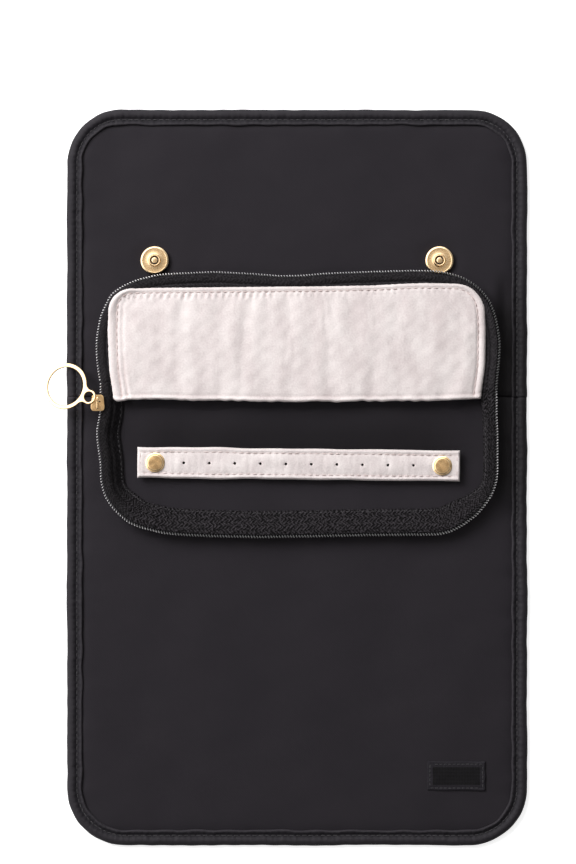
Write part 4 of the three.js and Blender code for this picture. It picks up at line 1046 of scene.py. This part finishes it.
def slip_pocket():
    rows, columns = 81, 241
    u, v = np.meshgrid(np.linspace(0, 1, columns), eased(rows, 0.45))
    x, y = pocket_shape(u, v)
    edge, along = POCKET_ROUTE.nearest(x, y)
    _, inward = POCKET_ROUTE.at(along)
    hem = hem_width(inward)
    mouth = v * POCKET_DEPTH
    past_hem = edge - hem

    sheet = np.stack([x, y, np.full_like(x, POCKET_Z)], axis=-1)
    row, column = np.meshgrid(np.arange(rows) / 2, np.arange(columns) / 2, indexing="ij")
    sheet = on_grid(slack_pocket(sheet[::2, ::2], (edge < hem)[::2, ::2]), row, column)
    sheet[..., :2] = np.where((edge < hem)[..., None], np.stack([x, y], axis=-1), sheet[..., :2])

    # The corners lie up over the zip tape. The mouth is rolled and uneven, and soft folds run down from the top.
    sheet[..., 2] += 0.9 * smooth((5.8 - LID_ROUTE.nearest(x, y)[0]) / 4.2)
    sheet[..., 2] += smooth(past_hem / 7) * (0.15 * waves(x, y * 0.7, 19, 81) + 0.13 * waves(x, y, 8, 82))
    sheet[..., 1] += (0.36 * sway(x, 13, 83) + 0.2 * sway(x, 5, 84)) * np.exp(-mouth / 3)

    # Each stitch draws the hem in: a scalloped edge, a groove along the seam and a pucker below it
    beat = 0.5 + 0.5 * beats(along, POCKET_STITCH)
    uneven = 0.55 + 0.45 * sway(along, 9, 85)
    sheet[..., :2] += inward * (0.2 * beat * uneven * np.exp(-edge / 1.2))[..., None]
    inside = smooth((mouth - 0.6) / 1.5)
    upper = inward[..., 1] ** 2
    gathered = upper * (0.35 + 0.65 * smooth((30 - x) / 50)) * uneven
    relief = -(0.38 + 0.42 * (1 - upper)) * hump(past_hem, 0.62) * (0.75 + 0.25 * beat) * inside
    relief -= 0.55 * (2 * beat - 0.7) * gathered * hump(past_hem - 1.7, 1.5) * inside
    relief += (0.24 - 0.14 * upper) * hump(edge - hem * 0.5, hem * 0.32)
    # The left side is rolled twice beside its seam, and the mouth once
    rolled = smooth((x + 70) / -12) * (1 - upper) * (1 - 0.55 * smooth((y - 44) / 18))
    relief += rolled * (0.5 * hump(past_hem - 1.5, 0.85) - 0.5 * hump(past_hem - 3, 0.6)
                        + 0.3 * hump(past_hem - 4.3, 1))
    relief += 0.3 * hump(mouth - 1.0, 0.8) - 0.22 * hump(mouth - 2.6, 0.7)
    relief -= 0.75 * (1 - smooth(edge)) + 0.7 * (1 - smooth(mouth / 0.8))
    top, bottom = sheet.copy(), sheet.copy()
    top[..., 2] += POCKET_THICK / 2 + relief
    bottom[..., 2] -= POCKET_THICK / 2 + 0.1 + 0.25 * hump(mouth, 1.2)
    piece = padded_sheet("slip_pocket", top, bottom, SUEDE)
    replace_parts(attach(piece, "lid"), "lid_pocket")
    return top


def pocket_seam(top):
    s = np.linspace(1.2, POCKET_ROUTE.length - 1.2, 700)
    place, inward = POCKET_ROUTE.at(s)
    place = place + inward * hem_width(inward)[:, None]
    line = np.column_stack([place, surface_height(top, place[:, 0], place[:, 1])])
    return sewn_row("pocket_stitches", [line], POCKET_STITCH, share=0.74, thick=0.46, material=BLUSH_THREAD, lift=0.06)


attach(pocket_seam(slip_pocket()), "lid")


# Earring strip: two layers of microsuede sewn together round the edge and punched with ten holes


def strip_place(along, across, height):
    cx, cy, _ = middle("strip_face")
    c, s = math.cos(STRIP_TURN), math.sin(STRIP_TURN)
    return np.stack([cx + along * c - across * s, cy + along * s + across * c, height], axis=-1)


def punch_holes(piece):
    """Cuts the earring holes through the strip."""
    punch = bmesh.new()
    for x in EARRING_HOLES:
        place = strip_place(np.array(x), np.array(0.0), np.array(PUNCH_Z)) * MM
        drilled = bmesh.ops.create_cone(punch, cap_ends=True, segments=20, radius1=HOLE_RADIUS_LOW * MM,
                                        radius2=HOLE_RADIUS_HIGH * MM, depth=PUNCH_DEPTH * MM)
        bmesh.ops.translate(punch, verts=drilled["verts"], vec=Vector(place))
    mesh = bpy.data.meshes.new("hole_punch")
    punch.to_mesh(mesh)
    punch.free()
    cut = piece.modifiers.new("holes", "BOOLEAN")
    cut.operation = "DIFFERENCE"
    cut.solver = "EXACT"
    cut.object = new_object("hole_punch", mesh)
    cutter = cut.object
    apply_modifier(piece, cut)
    bpy.data.objects.remove(cutter)


def earring_strip():
    half, wide = STRIP_LENGTH / 2, STRIP_WIDTH / 2
    end_seam, side_seam = STRIP_SEAMS
    along, across = np.meshgrid(half * crowded(241, 0.6), wide * crowded(33, 0.94))
    from_side, from_end = wide - np.abs(across), half - np.abs(along)
    edge = np.minimum(from_side, from_end)
    bent = across + 0.25 * sway(along, 33, 61) * np.sign(across) * smooth((np.abs(across) - 3) / 4)
    top = STRIP_TOP + 0.2 * waves(along, across * 2, 16, 62) * smooth(edge / 3)
    top += 0.25 * hump(edge - 1.1, 0.9) + 0.35 * hump(across, 4)
    top += 0.09 * waves(along * 3, across * 0.7, 10, 63) * smooth(from_side / 3)
    groove = np.minimum(np.abs(from_side - side_seam), np.abs(from_end - end_seam) + 10 * (from_side < 2))
    top -= 0.32 * hump(groove, 0.6) * (0.75 + 0.25 * beats(along, STRIP_STITCH))
    top -= 0.8 * (1 - smooth(edge / 0.8))
    for x in EARRING_HOLES:
        top -= 0.3 * hump(np.hypot(along - x, across), 1.1)
    low = STRIP_LOW + 0.15 * (1 - smooth(edge / 0.8))
    piece = padded_sheet("earring_strip", strip_place(along, bent, top), strip_place(along, bent, low), SUEDE)
    punch_holes(piece)
    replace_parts(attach(piece, "earring_strip"), "strip_face", "strip_backing")
    lines = []
    for side in (-1, 1):
        a = np.linspace(-half + end_seam, half - end_seam, 300)
        lines.append(strip_place(a, side * (wide - side_seam) + 0.25 * sway(a, 33, 61) * side * 0.6,
                                 np.full(300, STRIP_TOP - 0.05)))
        b = np.linspace(-wide + side_seam, wide - side_seam, 40)
        lines.append(strip_place(np.full(40, side * (half - end_seam)), b, np.full(40, STRIP_TOP)))
    row = sewn_row("strip_stitches", lines, STRIP_STITCH, share=0.72, thick=0.42, material=BLUSH_THREAD, lift=0.02)
    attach(row, "earring_strip")


earring_strip()


# Woven label on the lower flap, left blank


def label():
    (x0, x1), (y0, y1) = span("label_patch", 0), span("label_patch", 1)
    u, v = np.meshgrid(np.linspace(0, 1, 61), np.linspace(0, 1, 31))
    edge = np.minimum(np.minimum(u, 1 - u) * (x1 - x0), np.minimum(v, 1 - v) * (y1 - y0))
    x = x0 + (x1 - x0) * u + 0.12 * sway(v * 14, 6, 71)
    y = y0 + (y1 - y0) * v + 0.15 * sway(u * 29, 12, 72)
    top = LABEL_TOP + 0.12 * waves(x, y, 9, 73) + 0.12 * hump(edge - 0.5, 0.4) - 0.4 * (1 - smooth(edge / 0.5))
    top -= 0.12 * hump(edge - LABEL_SEAM, 0.5)
    piece = padded_sheet("blank_label", np.stack([x, y, top], -1), np.stack([x, y, np.full_like(x, LABEL_LOW)], -1),
                         LABEL_SATIN)
    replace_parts(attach(piece, "lower_flap"), "label_patch")
    left, right, low, high = x0 + LABEL_SEAM, x1 - LABEL_SEAM, y0 + LABEL_SEAM, y1 - LABEL_SEAM
    corners = [(left, low), (right, low), (right, high), (left, high)]
    height = LABEL_TOP - 0.03
    lines = [np.array([[*a, height], [*b, height]]) for a, b in zip(corners, corners[1:] + corners[:1])]
    row = sewn_row("label_stitches", lines, pitch=2.2, share=0.75, thick=0.34, material=BLACK_THREAD, lift=0.02)
    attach(row, "lower_flap")


label()


# Metal parts. Turned ones are drawn as (radius, height) profiles.

SOCKET_PROFILE = [
    (6.85, 0), (7.0, 0.2), (7.0, 1.72), (6.96, 1.86), (6.86, 1.95), (6.55, 2.12), (6.3, 2.24), (6.14, 2.27),
    (6.04, 2.2), (5.97, 1.95), (5.85, 1.87), (5.4, 1.86), (3.5, 1.86), (3.2, 1.96), (3.0, 2.2), (2.88, 2.58),
    (2.78, 2.8), (2.64, 2.92), (2.52, 2.94), (2.36, 2.86), (2.2, 2.71), (2.1, 2.5), (2.06, 2.2), (2.06, 0.62),
    (2, 0.55), (0, 0.55), (0, 0)]
RIVET_PROFILE = [(1.52, 0.6), (1.52, 2.25), (1.46, 2.44), (1.3, 2.56), (1.0, 2.62), (0, 2.64), (0, 0.6)]
MAGNET_PROFILE = [(1.56, 0.6), (2.02, 0.6), (2.02, 1.1), (1.96, 1.2), (1.62, 1.2), (1.56, 1.1)]
CAP_PROFILE = [
    (0, 0), (0.9, 0), (0.9, 2.05), (4.5, 2.05), (4.84, 2.12), (4.92, 2.26), (4.88, 2.42), (4.74, 2.52), (4.4, 2.68),
    (4.18, 2.74), (4.1, 2.68), (4.04, 2.5), (4.0, 2.74), (3.97, 3.0), (3.9, 3.2), (3.76, 3.32), (3.5, 3.37),
    (2.7, 3.42), (2.0, 3.46), (1.0, 3.5), (0, 3.51)]


def magnetic_snap(side):
    centre = (*middle("magnet_socket_" + side)[:2], FACE_Z)
    socket = turned_part("magnetic_snap_socket_" + side, SOCKET_PROFILE, centre, SATIN_GOLD)
    rivet = turned_part("magnetic_snap_rivet_" + side, RIVET_PROFILE, centre, SATIN_GOLD)
    magnet = turned_part("magnetic_snap_core_" + side, MAGNET_PROFILE, centre, FERRITE)
    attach(magnet, "panel")
    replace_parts(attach(socket, "panel"), "magnet_socket_" + side)
    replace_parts(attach(rivet, "panel"), "magnet_rivet_" + side)


def snap_cap(side):
    node = "snap_cap_" + side
    cap = turned_part("snap_cap_dome_" + side, CAP_PROFILE, (*middle(node)[:2], span(node, 2)[0]), GOLD)
    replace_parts(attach(cap, "earring_strip"), node)


def soften(mesh, material, angle):
    """Shades a mesh smoothly, except where its faces meet at more than an angle."""
    mesh.polygons.foreach_set("use_smooth", [True] * len(mesh.polygons))
    mesh.set_sharp_from_angle(angle=math.radians(angle))
    mesh.materials.clear()
    mesh.materials.append(material)


def broken_edges(node, name, body, edge):
    """A metal part of the frame with its sharp edges rounded, as tumbling and plating leave them."""
    def merge_flats(shape):
        bmesh.ops.remove_doubles(shape, verts=shape.verts, dist=1e-6)
        bmesh.ops.dissolve_limit(shape, angle_limit=math.radians(1), verts=shape.verts, edges=shape.edges)

    piece = new_object(name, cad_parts[node].data.copy())
    edit(piece.data, merge_flats)
    rounding = piece.modifiers.new("edges", "BEVEL")
    rounding.width = edge * MM
    rounding.segments = 4
    rounding.limit_method = "ANGLE"
    rounding.angle_limit = math.radians(35)
    apply_modifier(piece, rounding)
    soften(piece.data, GOLD, 50)
    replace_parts(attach(piece, body), node)


for name in ("left", "right"):
    magnetic_snap(name)
    snap_cap(name)
broken_edges("slider_body", "zip_slider_body", "slider", edge=0.3)
broken_edges("slider_crown", "zip_slider_crown", "slider", edge=0.18)
broken_edges("pull_link", "zip_pull_link", "link", edge=0.16)
broken_edges("ring_pull", "zip_ring_pull", "ring", edge=0.55)

for name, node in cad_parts.items():
    if not node.hide_render:
        soften(node.data, STEEL if name.startswith("magnet_washer") else GOLD, 35)


# Floor, light and camera. Lamps and camera are placed in metres.


def stage_floor():
    """A white table top. It shows plain white to the camera and in the metal, and keeps the shadow."""
    material = bpy.data.materials.new("white_table_top")
    tree = cleared_tree(material)
    path = add(tree, "ShaderNodeLightPath").outputs
    seen = calc(tree, "MAXIMUM", path["Is Camera Ray"], path["Is Glossy Ray"])
    seen = calc(tree, "MAXIMUM", seen, path["Is Transmission Ray"])
    glow = calc(tree, "MULTIPLY", seen, step(tree, path["Is Camera Ray"], 0.0, 1.0, 0.12, 0.76))
    bright = add(tree, "ShaderNodeEmission", inputs={"Color": (1, 1, 1, 1), "Strength": glow})
    matt = add(tree, "ShaderNodeBsdfDiffuse", inputs={"Color": (0.72, 0.72, 0.72, 1)})
    both = add(tree, "ShaderNodeAddShader", inputs={0: bright.outputs[0], 1: matt.outputs[0]})
    add(tree, "ShaderNodeOutputMaterial", inputs={"Surface": both.outputs[0]})
    reach = 3000
    corners = [(-reach, -reach, -0.1), (reach, -reach, -0.1), (reach, reach, -0.1), (-reach, reach, -0.1)]
    new_piece("table_top", corners, [(0, 1, 2, 3)], material)


def mirrored_room(tree):
    """What the metal mirrors, and how much of it is ceiling: a room that is bright towards the window and dim low
    down and away from it, with an uneven, warmer ceiling straight above."""
    way = add(tree, "ShaderNodeTexCoord").outputs["Generated"]
    up = parts_of(tree, way)[2]
    ceiling = step(tree, up, math.cos(math.radians(24)), math.cos(math.radians(15)))
    above = mixed(tree, ceiling, 1.1, between(tree, mottle(tree, way, 0.06, detail=1.0), 0.25, 1.2))
    sideways = add(tree, "ShaderNodeVectorMath", {"operation": "DOT_PRODUCT"}, {0: way, 1: (-0.74, 0.67, 0)})
    sideways = sideways.outputs["Value"]
    walls = calc(tree, "ADD", step(tree, sideways, -0.6, 0.1, 0.2, 1.0), step(tree, sideways, 0.12, 0.36, 0.0, 2.0))
    low = step(tree, up, 0.0, 0.5, 0.25, 1.0)
    return calc(tree, "MULTIPLY", calc(tree, "MULTIPLY", above, low), walls), ceiling


def studio_light():
    world = bpy.data.worlds.new("studio")
    bpy.context.scene.world = world
    tree = cleared_tree(world)
    path = add(tree, "ShaderNodeLightPath").outputs
    room, ceiling = mirrored_room(tree)
    mirrored = mixed(tree, path["Is Glossy Ray"], 0.18, room)
    tint = calc(tree, "MULTIPLY", ceiling, path["Is Glossy Ray"])
    sky = add(tree, "ShaderNodeBackground", inputs={
        "Color": two_colours(tree, tint, "#ffffff", "#fff0dd"),
        "Strength": step(tree, path["Is Camera Ray"], 0.0, 1.0, mirrored, 1.0)})
    add(tree, "ShaderNodeOutputWorld", inputs={"Surface": sky.outputs[0]})


def lamp(name, place, size, power, mirrored=True):
    light = bpy.data.lights.new(name, "AREA")
    light.size = size
    light.energy = power
    piece = new_object(name, light)
    piece.location = place
    piece.rotation_euler = (-Vector(place)).to_track_quat("-Z", "Y").to_euler()
    piece.visible_glossy = mirrored


def overhead_camera():
    camera = bpy.data.cameras.new("camera")
    camera.lens = 125
    camera.sensor_width = 36
    camera.clip_end = 20
    viewer = new_object("camera", camera)
    viewer.location = (-0.0045, 0.02275, 1.5)
    bpy.context.scene.camera = viewer
    bpy.context.scene.view_settings.view_transform = "Standard"


stage_floor()
studio_light()
# The key light's brightness is spread over two lamps, so that polished metal mirrors only the weak one
lamp("key_lamp", (-1.0, 0.9, 1.05), size=1.1, power=28, mirrored=False)
lamp("key_shine", (-1.0, 0.9, 1.05), size=0.8, power=16)
lamp("fill_lamp", (1.1, -0.7, 1.4), size=1.2, power=1.2)
overhead_camera()
